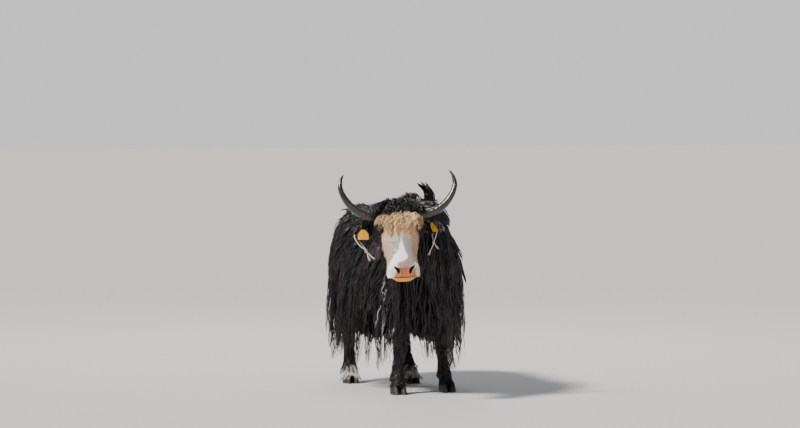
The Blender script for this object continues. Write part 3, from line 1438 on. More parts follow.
def trunk_hair(count, seed, shorter=1.0, **settings):
    roots = scatter(trunk, count, trunk_density, seed)
    swing = abs(roots.swing)
    read = {key: np.interp(swing, SWING, values) for key, values in RULES.items()}
    station = roots.ring * STATIONS
    read["length"] *= np.interp(station, *LENGTH_ALONG)
    read["lean"] *= np.minimum(1, station / 3)
    calm = CALM_NECK * hill((station, 8.4, 2.5), (roots.swing, 30, 28))
    calm = np.maximum(calm, CALM_SIDE * hill((roots.swing, -46, 30)) * (station < 9))
    read["lift"] = read["lift"] * (1 - calm) + 0.020 * hill((roots.swing, -110, 18))
    read["stand"] *= 1 - calm
    sleek = np.maximum(0.5 * calm, SLEEK_FRONT * np.clip((station - 6.0) / 2.0, 0, 1))
    settings["wave"] *= (1 - sleek)[:, None, None]
    rear = unit(-roots.head_way * (1, 1, 0))
    spill = np.cross(rear, UP) * -np.sign(roots.swing)[:, None]
    top = np.clip(1 - swing / 40, 0, 1)[:, None]
    lie = DOWN * (1 - top) + rear * read["lean"][:, None] + spill * -top
    return grow(roots, lie, read["length"] * shorter, lift=read["lift"] * shorter, seed=seed + 1,
                hang=read["hang"], stand=read["stand"], **settings)


hanks = trunk_hair(8900, 21, width=0.0150, steps=12, wave=0.0100, wavelength=0.078, pull=0.76,
                   hank=12)
wisps = trunk_hair(4400, 31, 0.95, width=0.0046, steps=9, wave=0.013, wavelength=0.080, pull=0.35,
                   hank=6)
print("combed", len(hanks.lines), "hanks and", len(wisps.lines), "wisps")


# %% Which locks stay
HEAD_ROOM = ((-0.27, 0.27), (-0.06, 0.42), (-0.128, 9.0))    # across, down and off the face
STRING_ROOM = ((0.024, 0.09, 0.004), (0.006, 0.004, 0.010))  # before and after a string's box


def clear_of_head(hair):
    """True for the locks that don't cross the face, the ears, the horns' roots or the strings."""
    low, high = np.array(HEAD_ROOM).T
    local = off_head(hair.lines)
    crossing = ((local > low) & (local < high)).all(-1)
    for side in ("left", "right"):
        for part in ("front", "back", "knot"):
            low, high = np.array(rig.box(f"ear_string_{part}_{side}"))
            low, high = low - STRING_ROOM[0], high + STRING_ROOM[1]
            crossing |= ((hair.lines > low) & (hair.lines < high)).all(-1)
    return ~crossing.any(1)


def part_of(hair, first, last, sign=0):
    """Which locks of the trunk's hair grow between two stations, on one side or both."""
    station = hair.roots.ring * STATIONS
    side = hair.roots.swing * sign >= 0
    high = hair.lines[..., 2].min(1) > LOWEST_TIP
    return (station >= first) & (station < last) & side & high & clear_of_head(hair)


print("long locks stay out of the face and over", LOWEST_TIP, "m")

# %% [markdown]
# ## Trailing strands
#
# Under the thick edge of the skirt a few long strands trail down past her knees, in bunches
# with gaps between them. They are a layer of their own, sparse and strongly drawn together.


# %% Trailing strands and a grey lock
def trailing_density(ring, swing, place):
    """Bunches along both flanks, low on the side."""
    bunch = np.sin(ring * 61 + np.sign(swing) * 1.3) * np.sin(ring * 23 + 0.7)
    bunch = fade((bunch + 0.15) / 0.5) * hill((abs(swing), 112, 20))
    return (bunch + 1.2 * hill((swing, -100, 12), (ring, 0.31, 0.05))) * (ring < 0.86)


def streak_density(ring, swing, place):
    """One spot behind her right elbow."""
    return np.exp(-(((place - SHIFT - (-0.168, -0.200, 0.62)) / 0.024) ** 2).sum(-1))


trails = grow(scatter(trunk, 900, trailing_density, 35), DOWN + np.array([0.0, 0.10, 0.0]), 0.400,
              0.0062, 0.055, 36, hang=0.17, stand=0.42, steps=12, wave=0.010, wavelength=0.110,
              pull=0.80, hank=9)
streak = grow(scatter(trunk, 16, streak_density, 37), DOWN, 0.32, 0.0062, 0.078, 38, hang=0.2,
              stand=0.6, steps=18, wave=0.010, wavelength=0.066, pull=0.75, hank=8)
streak.chance[:] = GREY

LENGTHWISE = (("rump", 0.0, 2.6), ("hip", 2.6, 4.2), ("flank", 4.2, 5.8), ("shoulder", 5.8, 8.8))
for part, first, last in LENGTHWISE:
    for sign, word in HANDS:
        layers = [(hair, part_of(hair, first, last, sign)) for hair in (hanks, wisps, trails)]
        if (part, word) == ("shoulder", "right"):
            layers.append(streak)
        dress(f"coat_{part}_{word}", *layers)
dress("coat_neck", *[(hair, part_of(hair, 8.8, 14.0)) for hair in (hanks, wisps, trails)])

# %% [markdown]
# ## Tail, hump and legs
#
# The tail is a horse-like brush from the dock down. On the hump the wind has lifted a crest of
# hair. The legs have short, flat hair with a feather of longer hair behind.


# %% Tail and hump
def tail_hair():
    def density(ring, swing, place):
        return np.interp(ring, (0.0, 0.12, 0.25, 1.0), (0.0, 0.2, 1.0, 1.4))

    roots = scatter(tail, 1100, density, 41)
    length = np.interp(roots.ring, (0, 0.2, 0.5, 1.0), (0.10, 0.22, 0.27, 0.21))
    return grow(roots, DOWN + roots.normal * 0.15, length, 0.012, 0.024, 42, hang=0.25, stand=0.22,
                steps=8, wave=0.008, wavelength=0.11, pull=0.6, hank=10)


BLOWN = unit(np.array([-0.99, 0.0, 0.12]))


def crest_hair(count, station, swing, reach, length, seed, lie, fall=BLOWN, stand=1.0, lift=0.0,
               **settings):
    """Hair that the wind lifts off the hump and bends to her right."""
    def density(ring, place_swing, place):
        return hill((ring * STATIONS, station, reach[0]), (place_swing, swing, reach[1]))

    roots = scatter(trunk, count, density, seed)
    return grow(roots, np.array(lie), length, 0.0085, lift, seed + 1, stand=stand, wave=0.004,
                wavelength=0.08, fall=fall, **settings)


tuft = crest_hair(250, 7.30, 21, (0.30, 6.0), 0.126, 43, (-0.15, 0.0, 0.95), hang=0.13, steps=8,
                  pull=0.72, hank=18)
root = crest_hair(110, 7.30, 27, (0.30, 4.0), 0.078, 49, (0.0, 0.0, 1.0), stand=0.4, hang=0.05,
                  steps=7, pull=0.6, hank=14)
spikes = crest_hair(260, 7.0, -19, (0.6, 11), 0.058, 45, (-0.3, 0.0, 0.9), hang=0.05, steps=6,
                    pull=0.85, hank=9)
mound = crest_hair(300, 3.2, -12, (0.8, 8), 0.090, 47, (-0.3, 0.4, 0.2), fall=DOWN, stand=0.9,
                   hang=0.14, lift=0.034, steps=8, pull=0.75, hank=12, stray=0.5)
dress("coat_tail", tail_hair())
dress("coat_crest", tuft, root, spikes, mound)


# %% Legs
def leg_hair(name, seed):
    def density(ring, swing, place):
        return np.interp(place[..., 2], (0.045, 0.05, 0.42, 0.60), (1.2, 1.5, 1.0, 0.0))

    roots = scatter(legs[name], 1600, density, seed)
    height = roots.place[:, 2]
    feather = np.interp(height, (0.06, 0.12, 0.25, 0.45), (0.8, 0.6, 0.5, 1.4))
    length = np.interp(height, (0.05, 0.10, 0.30, 0.50), (0.016, 0.022, 0.040, 0.080))
    length = length * (1 + np.clip(roots.normal[:, 1], 0, 1) * feather)
    lift = np.interp(height, (0.05, 0.30, 0.50), (0.004, 0.006, 0.014))
    if name.startswith("hind"):
        sock = fade((0.120 - height) / 0.03)
        length, lift = length + 0.040 * sock, lift + 0.003 * sock
    width = np.interp(height, (0.05, 0.30, 0.50), (0.0050, 0.0072, 0.0100))
    lie = DOWN + roots.normal * 0.1 + np.array([0.0, 0.25, 0.0])
    return grow(roots, lie, length, width, lift, seed + 1, hang=0.05, stand=0.16, steps=4,
                wave=0.0012, wavelength=0.03, pull=0.35, hank=9, sink=0.003, floor=0.012)


for number, name in enumerate(LEGS):
    dress("coat_leg_" + name, leg_hair(name, 51 + 2 * number))

# %% [markdown]
# ## Hair of the head
#
# The face is short and sleek, so its fur is mostly bump, with small flat tufts that break the
# edge. Cheeks and jaw are shaggy and black. Between the horns grows a mop of black curls, and
# in front of it a cream fringe in loose ringlets that hangs to below the eyes.


# %% Face, cheeks and jaw
def roots_on_head(count, density, seed, keep):
    """Roots on the head whose head coordinates pass a test, and those coordinates."""
    roots = scatter(head, count, density, seed)
    roots = roots.only(keep(off_head(roots.place)))
    return roots, off_head(roots.place)


def off_eyes(local):
    """How far points lie from the nearer eye."""
    return np.min([np.linalg.norm(local - EYE * side, axis=1) for side in BOTH], axis=0)


def pale_grid(place):
    return pale_share(place.reshape(-1, 3)).reshape(place.shape[:2])


def face_hair():
    def density(ring, swing, place):
        local = off_head(place)
        over, _ = mouth_gap(local)
        lips = fade((0.007 - over) / 0.004) * (local[..., 1] > 0.35)
        pad = fade((local[..., 1] - 0.378) / 0.012) * fade((0.060 - abs(local[..., 0])) / 0.016)
        return pale_grid(place) * (1 - np.maximum(lips, pad)) * (head_pit[1:, :] < 0.02)

    roots, local = roots_on_head(9400, density, 61, lambda local: off_eyes(local) > 0.0235)
    a, u, o = local.T
    length = np.interp(u, (0.05, 0.15, 0.25, 0.40), (0.018, 0.013, 0.010, 0.007))
    length = length + 0.018 * fade((-0.062 - o) / 0.03) * fade((0.36 - u) / 0.04)
    return grow(roots, DOWN_FACE + ACROSS * (a[:, None] * 3.5), length, 0.0028, 0.0001, 62,
                hang=0.0, stand=0.01, steps=2, wave=0.0003, wavelength=0.02, pull=0.2, hank=6,
                sink=0.0004, thickness=0.10)


def lid_hair(side, seed):
    """Very short fur on the lids, in a corner of the face's chart."""
    roots = scatter(lid_grid(side), 420, lambda ring, swing, place: fade((ring - 0.22) / 0.15),
                    seed)
    centre, _, _, aim = lid_frame(side)
    roots.normal = roots.normal * np.sign(dot(roots.normal, aim))
    roots.chart = roots.chart * (0.05, 0.4) + (1.03, 0.3 + 0.25 * side[0])
    lie = unit(roots.place - centre) * 0.7 + DOWN_FACE * 0.7
    return grow(roots, lie, 0.0095, 0.0026, 0.0004, seed + 1, hang=0.0, stand=0.10, steps=2,
                wave=0.0003, wavelength=0.02, pull=0.2, hank=6, sink=0.0006, thickness=0.2)


def cheek_hair():
    def density(ring, swing, place):
        _, u, o = np.moveaxis(off_head(place), -1, 0)
        crown = (u < POLL_LINE) & (o > -0.070)
        return (1 - pale_grid(place)) * ~crown * np.interp(u, (-0.03, 0.36, 0.40), (1.0, 0.7, 0.0))

    roots, local = roots_on_head(3600, density, 63, lambda local: off_eyes(local) > 0.028)
    a, u, o = local.T
    length = np.interp(u, (0.0, 0.12, 0.22, 0.34), (0.060, 0.050, 0.034, 0.018))
    length = length * np.interp(o, (-0.20, -0.14, -0.06), (1.6, 1.0, 0.7))
    lie = DOWN * 0.9 + DOWN_FACE * 0.4 - OFF_FACE * 0.35
    made = grow(roots, lie, length, length * 0.08 + 0.0028, length * 0.16, 64, hang=0.10,
                stand=0.20, steps=5, wave=0.0030, wavelength=0.035, pull=0.4, hank=9, sink=0.003)
    jaw = (a < 0) & (abs(u - 0.295) < 0.045) & (o > -0.150)
    made.chance[jaw & (made.chance < 0.5)] = GREY
    return made


dress("coat_face", face_hair(), *[lid_hair(side, 65) for side in BOTH], slot="pale_face",
      smooth=False)
dress("coat_cheeks", cheek_hair())


# %% Forelock and poll
def on_poll(down, across, reach_down, reach_across, lowest=-0.075):
    """Hair in a spot on both sides of the poll, down and across, no lower than a level."""
    def density(ring, swing, place):
        a, u, o = np.moveaxis(off_head(place), -1, 0)
        return hill((u, down, reach_down), (abs(a), across, reach_across)) * (o > lowest)

    return density


def fringe_hair(count, width, seed, **settings):
    """Cream ringlets that hang over the brow."""
    roots, local = roots_on_head(count, on_poll(0.060, 0.045, 0.014, 0.056), seed,
                                 lambda local: local[:, 1] > POLL_LINE + 0.003)
    a = local[:, :1]
    length = np.interp(a[:, 0], (-0.095, -0.06, -0.03, 0.0, 0.04, 0.07, 0.1),
                       (0.068, 0.110, 0.146, 0.118, 0.122, 0.105, 0.075))
    aside = a * 2.4 + np.sign(a) * np.maximum(abs(a) - 0.05, 0) * 14
    lie = DOWN_FACE + ACROSS * aside + OFF_FACE * 0.1
    return grow(roots, lie, length, width, 0.012, seed + 1, hang=0.09, stand=0.40, stray=0.4,
                **settings)


def mop_hair(count, width, seed, **settings):
    """Black curls between and over the roots of the horns."""
    roots, local = roots_on_head(count, on_poll(0.012, 0.055, 0.026, 0.076), seed,
                                 lambda local: local[:, 1] < POLL_LINE - 0.002)
    lie = DOWN_FACE + ACROSS * (local[:, :1] * 8.0) + OFF_FACE * 0.8
    return grow(roots, lie, 0.072, width, 0.009, seed + 1, hang=0.10, stand=0.42, stray=1.7,
                **settings)


def temple_hair():
    """Black hair that falls over the root of each horn, beside the fringe."""
    roots, local = roots_on_head(300, on_poll(0.008, 0.084, 0.015, 0.020, -0.070), 79,
                                 lambda local: local[:, 1] < POLL_LINE - 0.006)
    lie = ACROSS * np.sign(local[:, :1]) + DOWN_FACE * 0.2 + OFF_FACE * 1.4
    return grow(roots, lie, 0.096, 0.0075, 0.030, 80, hang=0.15, stand=1.1, steps=11, wave=0.0045,
                wavelength=0.04, pull=0.45, hank=6, curl=0.002)


ringlets = fringe_hair(135, 0.0062, 71, steps=26, wave=0.0048, wavelength=0.042, pull=0.55,
                       hank=4, curl=0.0024)
strands = fringe_hair(120, 0.0032, 73, steps=20, wave=0.0060, wavelength=0.044, pull=0.6, hank=6)
dress("coat_fringe", ringlets, strands, slot="pale_face")
curls = mop_hair(650, 0.0086, 75, steps=12, wave=0.0048, wavelength=0.036, pull=0.35, hank=5,
                 curl=0.0024)
loose = mop_hair(360, 0.0040, 77, steps=9, wave=0.007, wavelength=0.038, pull=0.3, hank=5)
dress("coat_poll", curls, loose, temple_hair())


# %% Ears
def ear_hair(side, seed):
    def density(ring, swing, place):
        return np.interp(ring, (0.0, 0.2, 0.9, 1.0), (0.3, 1.0, 1.2, 1.0))

    roots = scatter(ears[side], 850, density, seed)
    roots.chart = roots.chart * (0.48, 1.0) + (0.5 if side > 0 else 0.0, 0.0)
    length = np.interp(roots.ring, (0, 0.3, 1.0), (0.028, 0.038, 0.032))
    made = grow(roots, ear_frame(side)[0] * 0.8 + DOWN * 0.6, length, 0.0048, 0.008, seed + 1,
                hang=0.12, stand=0.28, steps=5, wave=0.0022, wavelength=0.03, pull=0.5, hank=8,
                sink=0.002, ground=SKIN)
    if side > 0:
        made.chance[made.chance < 0.12] = GREY
    return made


dress("coat_ears", *[ear_hair(side, 81 + side) for side, _ in HANDS])

# %% [markdown]
# ## Eyes
#
# A yak's eye is nearly black, with a dark brown iris and a pupil that lies level. The ball is
# turned so that its own +Z looks out of the head, and the iris is drawn in the ball's own
# coordinates. A clear coat gives it the wet shine.


# %% Eyes
def eye_finish():
    eye = Finish("eye", Roughness=0.12, Coat_Weight=1.0, Coat_Roughness=0.03)
    place = eye.coordinates()
    x, y, z = (eye.along(place, axis) for axis in ((1, 0, 0), (0, 1, 0), (0, 0, 1)))
    spread_out = (x * x + y * y) / EYE_RADIUS ** 2
    pupil = (x * x / 0.0088 ** 2 + y * y / 0.0046 ** 2).step(1.15, 0.85)
    threads = eye.noise(eye.joined(x / 0.02, y / 0.02, spread_out * 4), 9.0, 4.0)
    iris = eye.mix(threads, (18, 10, 8), (44, 26, 17))
    ball = eye.mix(spread_out.step(0.50, 0.58) * z.step(-0.001, 0.001), iris, (16, 11, 10))
    eye.set(Base_Color=eye.mix(pupil, ball, (6, 5, 8)))
    return eye


def ball_grid(radius, rings, sides):
    angle = np.linspace(0.04, np.pi - 0.04, rings)[:, None]
    turn = 2 * np.pi * np.arange(sides)[None] / sides
    bulge = 1 + 0.035 * fade((0.75 - angle) / 0.4)
    return radius * bulge[..., None] * np.stack([np.sin(angle) * np.cos(turn),
                                                 np.sin(angle) * np.sin(turn),
                                                 np.cos(angle) + 0 * turn], -1)


EYE_FINISH = eye_finish()
for side, (_, word) in zip(BOTH, HANDS):
    centre, slit, _, aim = lid_frame(side)
    mesh = closed("eye_" + word, loft("eye", ball_grid(EYE_RADIUS, 40, 56)))
    eyeball = piece("eyeball_" + word, mesh, EYE_FINISH, "eye", ["eye_" + word])
    turn = Matrix((slit, np.cross(aim, slit), aim)).transposed().to_4x4()
    eyeball.matrix_world = Matrix.Translation(Vector(centre)) @ turn
print("the eyes are", round(2000 * EYE_RADIUS), "mm across")

# %% [markdown]
# ## Horns
#
# The horns are round, go out level, then sweep up and back to a sharp point. Near the root
# they are ringed and dull, and towards the tip they are smooth, dark and polished.

# %% Horns
HORN_ROOT = np.array([0.0, 0.050, -0.050])
# out to the side, up and forward of the root, and the radius
HORN = (
    (0.030, 0.006, -0.006, 0.0270), (0.120, -0.010, 0.008, 0.0245), (0.182, -0.002, 0.022, 0.0220),
    (0.242, 0.032, 0.028, 0.0195), (0.286, 0.082, 0.022, 0.0165), (0.308, 0.135, 0.008, 0.0125),
    (0.302, 0.180, -0.008, 0.0080), (0.285, 0.208, -0.020, 0.0025),
)
HORN_RINGS, HORN_SIDES = 220, 36
HORN_SPREAD = {-1: 0.94, 1: 0.99}    # how far out each horn stands


def horn_mesh(side, word):
    out, rise, ahead, radius = spread(HORN, HORN_RINGS).T[..., None]
    out = out * HORN_SPREAD[side] * side
    points = on_head(HORN_ROOT) + ACROSS * out + HEAD_UP * rise + AHEAD * ahead
    share = np.linspace(0, 1, HORN_RINGS)[:, None]
    ripple = 0.020 * np.sin(share * 95 + 2 * np.sin(share * 17)) * (1 - fade((share - 0.25) / 0.3))
    radius = radius * (1 + ripple) * (1 - 0.9 * fade((share - 0.985) / 0.015))
    mesh = closed("horn_" + word, loft("horn", tube_grid(points, radius[:, 0], HORN_SIDES)))
    mark(mesh, reach=np.repeat(share[:, 0], HORN_SIDES))
    return mesh


def horn_finish():
    horn = Finish("horn", Coat_Roughness=0.20)
    place, reach = horn.coordinates(), horn.attribute("reach")
    cloud, scuff = horn.noise(place, 22.0, 3.0), horn.noise(place, 160.0)
    rings = horn.noise(horn.joined(reach * 60, cloud * 2, 0.0), 1.0, 3.0)
    root = reach.step(0.30, 0.02)
    colour = horn.mix((cloud * 0.6 + rings * 0.6).step(0.35, 0.85), (24, 19, 18), (54, 42, 37))
    colour = horn.mix(root * 0.6, colour, horn.mix(rings, (66, 52, 45), (106, 90, 78)))
    horn.set(Base_Color=horn.mix(reach.step(0.55, 0.85), colour, (22, 18, 19)),
             Roughness=0.28 + root * 0.25 + (scuff - 0.5) * 0.15, Coat_Weight=0.45 - root * 0.35)
    horn.bump(rings * 0.7 + scuff * 0.3, 0.35, 0.0015)
    return horn


HORN_FINISH = horn_finish()
for side, word in HANDS:
    piece("horn_keratin_" + word, horn_mesh(side, word), HORN_FINISH, "horn", ["horn_" + word])
print("each horn reaches", HORN[5][0], "m out from the middle")

# %% [markdown]
# ## Hooves
#
# Each foot has two claws and, higher behind, two small dewclaws. Hoof horn grows down in faint
# rings and is worn pale at the ground.

# %% Hooves
CLAW_LENGTH, CLAW_WIDTH, CLEFT = 0.090, 0.039, 0.003
# height, length, width and how far it reaches ahead
CLAW = ((0.0, 0.97, 0.93, 0.014), (0.0025, 1.0, 0.98, 0.0138), (0.012, 1.0, 1.0, 0.013),
        (0.030, 0.90, 0.98, 0.006), (0.0447, 0.80, 0.92, 0.0))
CLAW_RINGS, CLAW_SIDES = 30, 44


def claw_mesh(name, side):
    foot, _, rows = LEGS[name]
    height, length, width, ahead = spread(CLAW, CLAW_RINGS).T[..., None]
    across, along = outline((3.0, 1.9), CLAW_SIDES)
    ridge = 1 + 0.010 * np.sin(height * 900) * fade(height / 0.01)
    x = foot[0] + side * (CLAW_WIDTH + CLEFT) / 2 + across * (CLAW_WIDTH / 2 * width * ridge)
    y = foot[1] + rows[-1][1] - ahead + along * (CLAW_LENGTH / 2 * length * ridge)
    return closed("claw", loft("claw", np.stack([x, y, height + 0 * x], -1) + SHIFT))


def hoof_finish():
    hoof = Finish("hoof", Specular_IOR_Level=0.4)
    place = hoof.coordinates()
    growth = hoof.noise(hoof.vector("MULTIPLY", place, (12, 12, 260)), 1.0, 3.0)
    dust = hoof.noise(place, 90.0, 3.0)
    colour = hoof.mix(growth.step(0.3, 0.7), (24, 21, 20), (52, 45, 41))
    worn = hoof.along(place, (0, 0, 1)).step(0.016, 0.0) * dust.step(0.3, 0.7)
    hoof.set(Base_Color=hoof.mix(worn * 0.7, colour, (98, 86, 74)), Roughness=0.50 + dust * 0.2)
    hoof.bump(growth * 0.7 + dust * 0.3, 0.5, 0.0012)
    return hoof


HOOF_FINISH = hoof_finish()
for name in LEGS:
    for side, word in HANDS:
        piece(f"hoof_{name}_{word}", claw_mesh(name, side), HOOF_FINISH, "hoof",
              [f"claw_{name}_{word}"])


def dewclaw_mesh():
    """Eight small cones of horn behind the pasterns, in one mesh."""
    bm = bmesh.new()
    turn = Matrix(((1, 0, 0), (0, 0.8, 0.6), (0, -0.6, 0.8)))
    for foot, _, _ in LEGS.values():
        for side, _ in HANDS:
            place = Vector((foot[0] + side * 0.018, foot[1] + 0.030, 0.077)) + Vector(SHIFT)
            made = bmesh.ops.create_uvsphere(bm, u_segments=20, v_segments=12, radius=1.0)
            for vert in made["verts"]:
                x, y, z = vert.co
                slim = 1 - 0.25 * y
                vert.co = place + turn @ Vector((x * 0.012 * slim, y * 0.018, z * 0.013 * slim))
    return smooth_mesh("dewclaws", bm)


piece("dewclaws", dewclaw_mesh(), HOOF_FINISH, "hoof")
print("hooves are on")

# %% [markdown]
# ## Ear tags and strings
#
# A farm tag is a flat plastic panel on a stud through the ear, with a round button behind.
# Its face is left bare. A white wool string goes through a hole near each ear's tip, and its
# two strands meet in a knot with frayed ends. Wool string is plied, so the tube is grooved
# along a twist.

# %% Ear tags
TAG_WIDTH, TAG_HEIGHT, TAG_THICKNESS = 0.056, 0.046, 0.0022
TAG_SHARE = 0.62
# how far each tag turns to her left, and up
TAG_TURN, TAG_TILT = {-1: 0.0, 1: 1.8}, {-1: 0.0, 1: 1.5}
TAG_CORNER = 0.004
TAG_OUTLINE = ((-0.20, -0.14), (0.20, -0.14), (0.36, 0.16), (0.5, 0.34), (0.5, 0.94),
               (0.44, 1.0), (-0.44, 1.0), (-0.5, 0.94), (-0.5, 0.34), (-0.36, 0.16))


def plate(bm, points, thickness, face):
    """A flat panel."""
    made = bmesh.ops.extrude_face_region(
        bm, geom=[bm.faces.new([bm.verts.new(point) for point in points])])
    verts = [v for v in made["geom"] if isinstance(v, bmesh.types.BMVert)]
    bmesh.ops.translate(bm, verts=verts, vec=Vector(face) * thickness)


def round_edges(bm, edges, sharper, offset, segments):
    """Rounds those of some edges where the surface bends by more than an angle."""
    sharp = [e for e in edges if len(e.link_faces) == 2 and e.calc_face_angle(0) > sharper]
    bmesh.ops.bevel(bm, geom=sharp, offset=offset, segments=segments, affect="EDGES")


def round_bar(bm, centre, axis, radius, thickness, bevel):
    made = bmesh.ops.create_cone(bm, cap_ends=True, segments=32, radius1=radius, radius2=radius,
                                 depth=thickness)
    turn = Vector(axis).to_track_quat("Z", "Y").to_matrix()
    for vert in made["verts"]:
        vert.co = Vector(centre) + turn @ vert.co
    round_edges(bm, {e for v in made["verts"] for e in v.link_edges}, 1.0, bevel, 3)


def tag_outline():
    """The panel's outline with rounded corners, across and down from its top."""
    points = []
    corners = np.array(TAG_OUTLINE) * (TAG_WIDTH, TAG_HEIGHT)
    for before, corner, after in zip(np.roll(corners, 1, 0), corners, np.roll(corners, -1, 0)):
        trim = min(TAG_CORNER, np.linalg.norm(before - corner) * 0.4,
                   np.linalg.norm(after - corner) * 0.4)
        a, b = corner + unit(before - corner) * trim, corner + unit(after - corner) * trim
        points += [a * (1 - t) ** 2 + corner * 2 * t * (1 - t) + b * t * t
                   for t in (0.0, 0.25, 0.5, 0.75, 1.0)]
    return points


def tag_mesh(side, word):
    front = ear_frame(side)[1]
    stud = ear_point(side, TAG_SHARE, 0.0)
    face = unit(front + AHEAD * 0.6 + ACROSS * TAG_TURN[side] + UP * TAG_TILT[side])
    hang = unit(DOWN - face * np.dot(DOWN, face))
    wide = np.cross(face, hang)
    top = stud + front * 0.030
    bm = bmesh.new()
    plate(bm, [top + wide * x + hang * y for x, y in tag_outline()], TAG_THICKNESS, face)
    round_edges(bm, bm.edges, 1.2, 0.0006, 2)
    neck = top + hang * 0.002 + face * TAG_THICKNESS
    round_bar(bm, neck, face, 0.0085, 0.0032, 0.0008)
    round_bar(bm, stud + front * 0.009, front, 0.005, 0.046, 0.0006)
    round_bar(bm, stud - front * 0.012, front, 0.014, 0.004, 0.001)
    bmesh.ops.recalc_face_normals(bm, faces=bm.faces)
    mesh = smooth_mesh("tag_" + word, bm)
    mesh.set_sharp_from_angle(angle=math.radians(40))
    return mesh


def tag_finish():
    tag = Finish("tag_yellow", Specular_IOR_Level=0.5, Subsurface_Weight=0.12,
                 Subsurface_Radius=(0.004, 0.003, 0.001))
    place = tag.coordinates()
    grime = tag.noise(place, 70.0, 4.0)
    scratch = tag.noise(tag.vector("MULTIPLY", place, (900, 120, 160)), 1.0)
    yellow = tag.mix(grime.step(0.3, 0.75), (232, 176, 26), (214, 142, 22))
    tag.set(Base_Color=tag.mix(grime.step(0.62, 0.85) * 0.6, yellow, (120, 78, 30)),
            Roughness=0.38 + scratch * 0.22)
    tag.bump(grime * 0.5 + scratch * 0.5, 0.25, 0.0006)
    return tag


TAG_FINISH = tag_finish()
for side, word in HANDS:
    piece("tag_" + word, tag_mesh(side, word), TAG_FINISH, "tag_yellow", ["ear_tag_" + word])
print("each tag is", TAG_WIDTH, "m wide and", TAG_HEIGHT, "m high")

# %% Strings
STRING_DIAMETER = 0.006
# where each string goes through the ear, and its knot and tails from there
STRINGS = {
    -1: {"share": 0.90, "swing": 0.30, "knot": (0.050, 0.0, -0.090), "sag": 0.016,
         "tails": ((0.018, -0.004, -0.044), (0.040, -0.004, -0.038))},
    1: {"share": 0.80, "swing": -0.55, "knot": (-0.014, 0.0, -0.076), "sag": 0.0,
        "tails": ((-0.027, -0.004, -0.062), (0.020, -0.004, -0.026))},
}
STRING_AHEAD = np.array([0.0, -0.022, 0.0])
PLIES, TWIST = 3, 0.011          # strands in the string, and the length of one turn
FRAY = 22                        # threads at the end of a tail


def plied_tube(line, radius, sides=24):
    """A tube whose section is a clover that turns along the line."""
    grid = tube_grid(line, np.ones(len(line)), sides)
    run = np.concatenate([[0], np.cumsum(np.linalg.norm(np.diff(line, axis=0), axis=1))])
    angle = 2 * np.pi * np.arange(sides) / sides
    turned = angle[None] - 2 * np.pi * run[:, None] / TWIST
    clover = 0.86 + 0.14 * abs(np.cos(PLIES / 2 * turned))
    return line[:, None] + (grid - line[:, None]) * (clover * column(radius, len(line)))[..., None]


def strand_line(side, face):
    """From the front or the back of the ear's hole down to the knot."""
    plan = STRINGS[side]
    front = ear_frame(side)[1]
    hole = ear_point(side, plan["share"], plan["swing"])
    knot = hole + plan["knot"] + STRING_AHEAD
    out = front * face
    start = hole + out * (0.0045 if face > 0 else 0.0040)
    around = knot + UP * 0.006 + out * 0.0042
    apart = ACROSS * side * face
    sag = DOWN * plan["sag"]
    middle = start * 0.5 + around * 0.5 + out * 0.010 + apart * 0.007 + sag
    bow = start + out * 0.012 + DOWN * 0.006 + apart * 0.006 + sag * 0.6
    return fair([start, bow, middle, around], np.linspace(0, 3, 60)), knot


def length_of(line):
    return float(np.linalg.norm(np.diff(line, axis=0), axis=1).sum())


def frayed_threads(end, way):
    """Threads that leave a tail all round and go on along its way."""
    bend = np.linspace(0, 1, 7)[:, None]
    for number in range(FRAY):
        angle = 2 * math.pi * number / FRAY
        aside = np.array([math.cos(angle), math.sin(angle), 0.0])
        reach = 0.014 + 0.005 * math.sin(number * 2.4)
        thread = end + aside * 0.0025 + way * reach * bend + aside * 0.0045 * bend ** 1.5
        yield loft("thread", tube_grid(thread, 0.0007 * (1.15 - bend[:, 0]), 5))


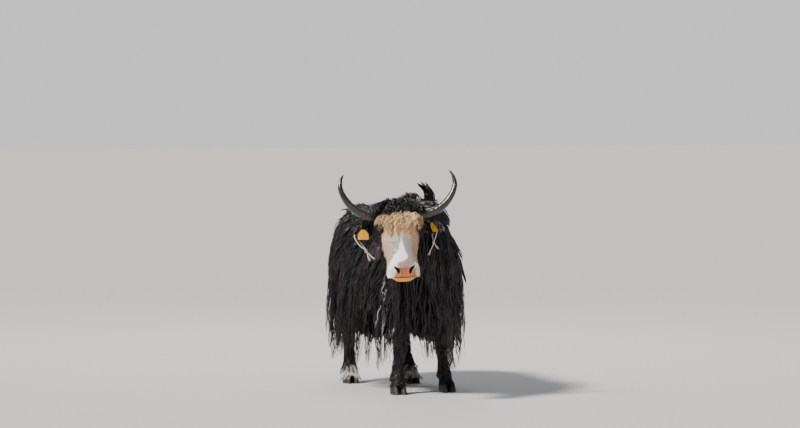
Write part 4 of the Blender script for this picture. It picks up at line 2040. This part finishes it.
def knot_mesh(knot, tails, word):
    """An overhand knot drawn as a few crossing turns, and two tails that fray."""
    turn = np.linspace(0, 4 * np.pi, 70)
    wrap = np.stack([0.0050 * np.cos(turn), 0.0042 * np.sin(turn),
                     0.0055 * np.sin(turn / 4 - 1.6)], 1)
    meshes = [loft("turns", plied_tube(knot + wrap, STRING_DIAMETER * 0.42))]
    share = np.linspace(0, 1, 30)[:, None]
    width = np.interp(share[:, 0], (0, 0.5, 0.8, 1.0), (0.0029, 0.0030, 0.0044, 0.0040))
    for tail in np.array(tails):
        line = knot + tail * share + np.array([0.002, 0.001, 0.0]) * np.sin(share * 7)
        meshes += [loft("tail", plied_tube(line, width)), *frayed_threads(line[-7], unit(tail))]
    return closed("knot_" + word, *meshes)


def string_finish():
    wool = Finish("string_wool", Roughness=0.9, Sheen_Weight=0.3)
    place = wool.coordinates()
    fuzz, dirt = wool.noise(place, 900.0, 3.0), wool.noise(place, 60.0)
    white = wool.mix(fuzz, (196, 190, 178), (232, 228, 218))
    wool.set(Base_Color=wool.mix(dirt.step(0.45, 0.75) * 0.5, white, (160, 150, 134)))
    wool.bump(fuzz, 0.6, 0.0008)
    return wool


STRING_FINISH = string_finish()
for side, word in HANDS:
    _, knot = strand_line(side, 1)
    bow = piece("string_knot_" + word, knot_mesh(knot, STRINGS[side]["tails"], word),
                STRING_FINISH, "string", ["ear_string_knot_" + word])
    for face, where in ((1, "front"), (-1, "back")):
        line, _ = strand_line(side, face)
        mesh = closed("strand", loft("strand", plied_tube(line, STRING_DIAMETER / 2)))
        strand = piece(f"string_{where}_{word}", mesh, STRING_FINISH, "string",
                       [f"ear_string_{where}_{word}"])
        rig.cord(strand, exit=line[0], length=length_of(line), diameter=STRING_DIAMETER,
                far_end="knot", stiffness="limp", lay="hanging", path=line,
                with_pieces=[bow] if face > 0 else [])
        print(strand.name, "is", round(length_of(line) * 1000), "mm long")

# %% [markdown]
# ## The last look
#
# The counts and the two boxes are printed and kept, so that the dressed animal can be set
# against the carving after every change.

# %% Sizes
print("the coat has", sum(COAT_TRIANGLES.values()), "triangles in", len(COAT_TRIANGLES), "pieces")
made_box = [list(corner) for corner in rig.bounds()]
print("the dressed animal spans", *[np.round(corner, 3).tolist() for corner in made_box])
with open("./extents.json", "w") as sizes:
    json.dump({"cad": cad_box, "visual": made_box}, sizes)
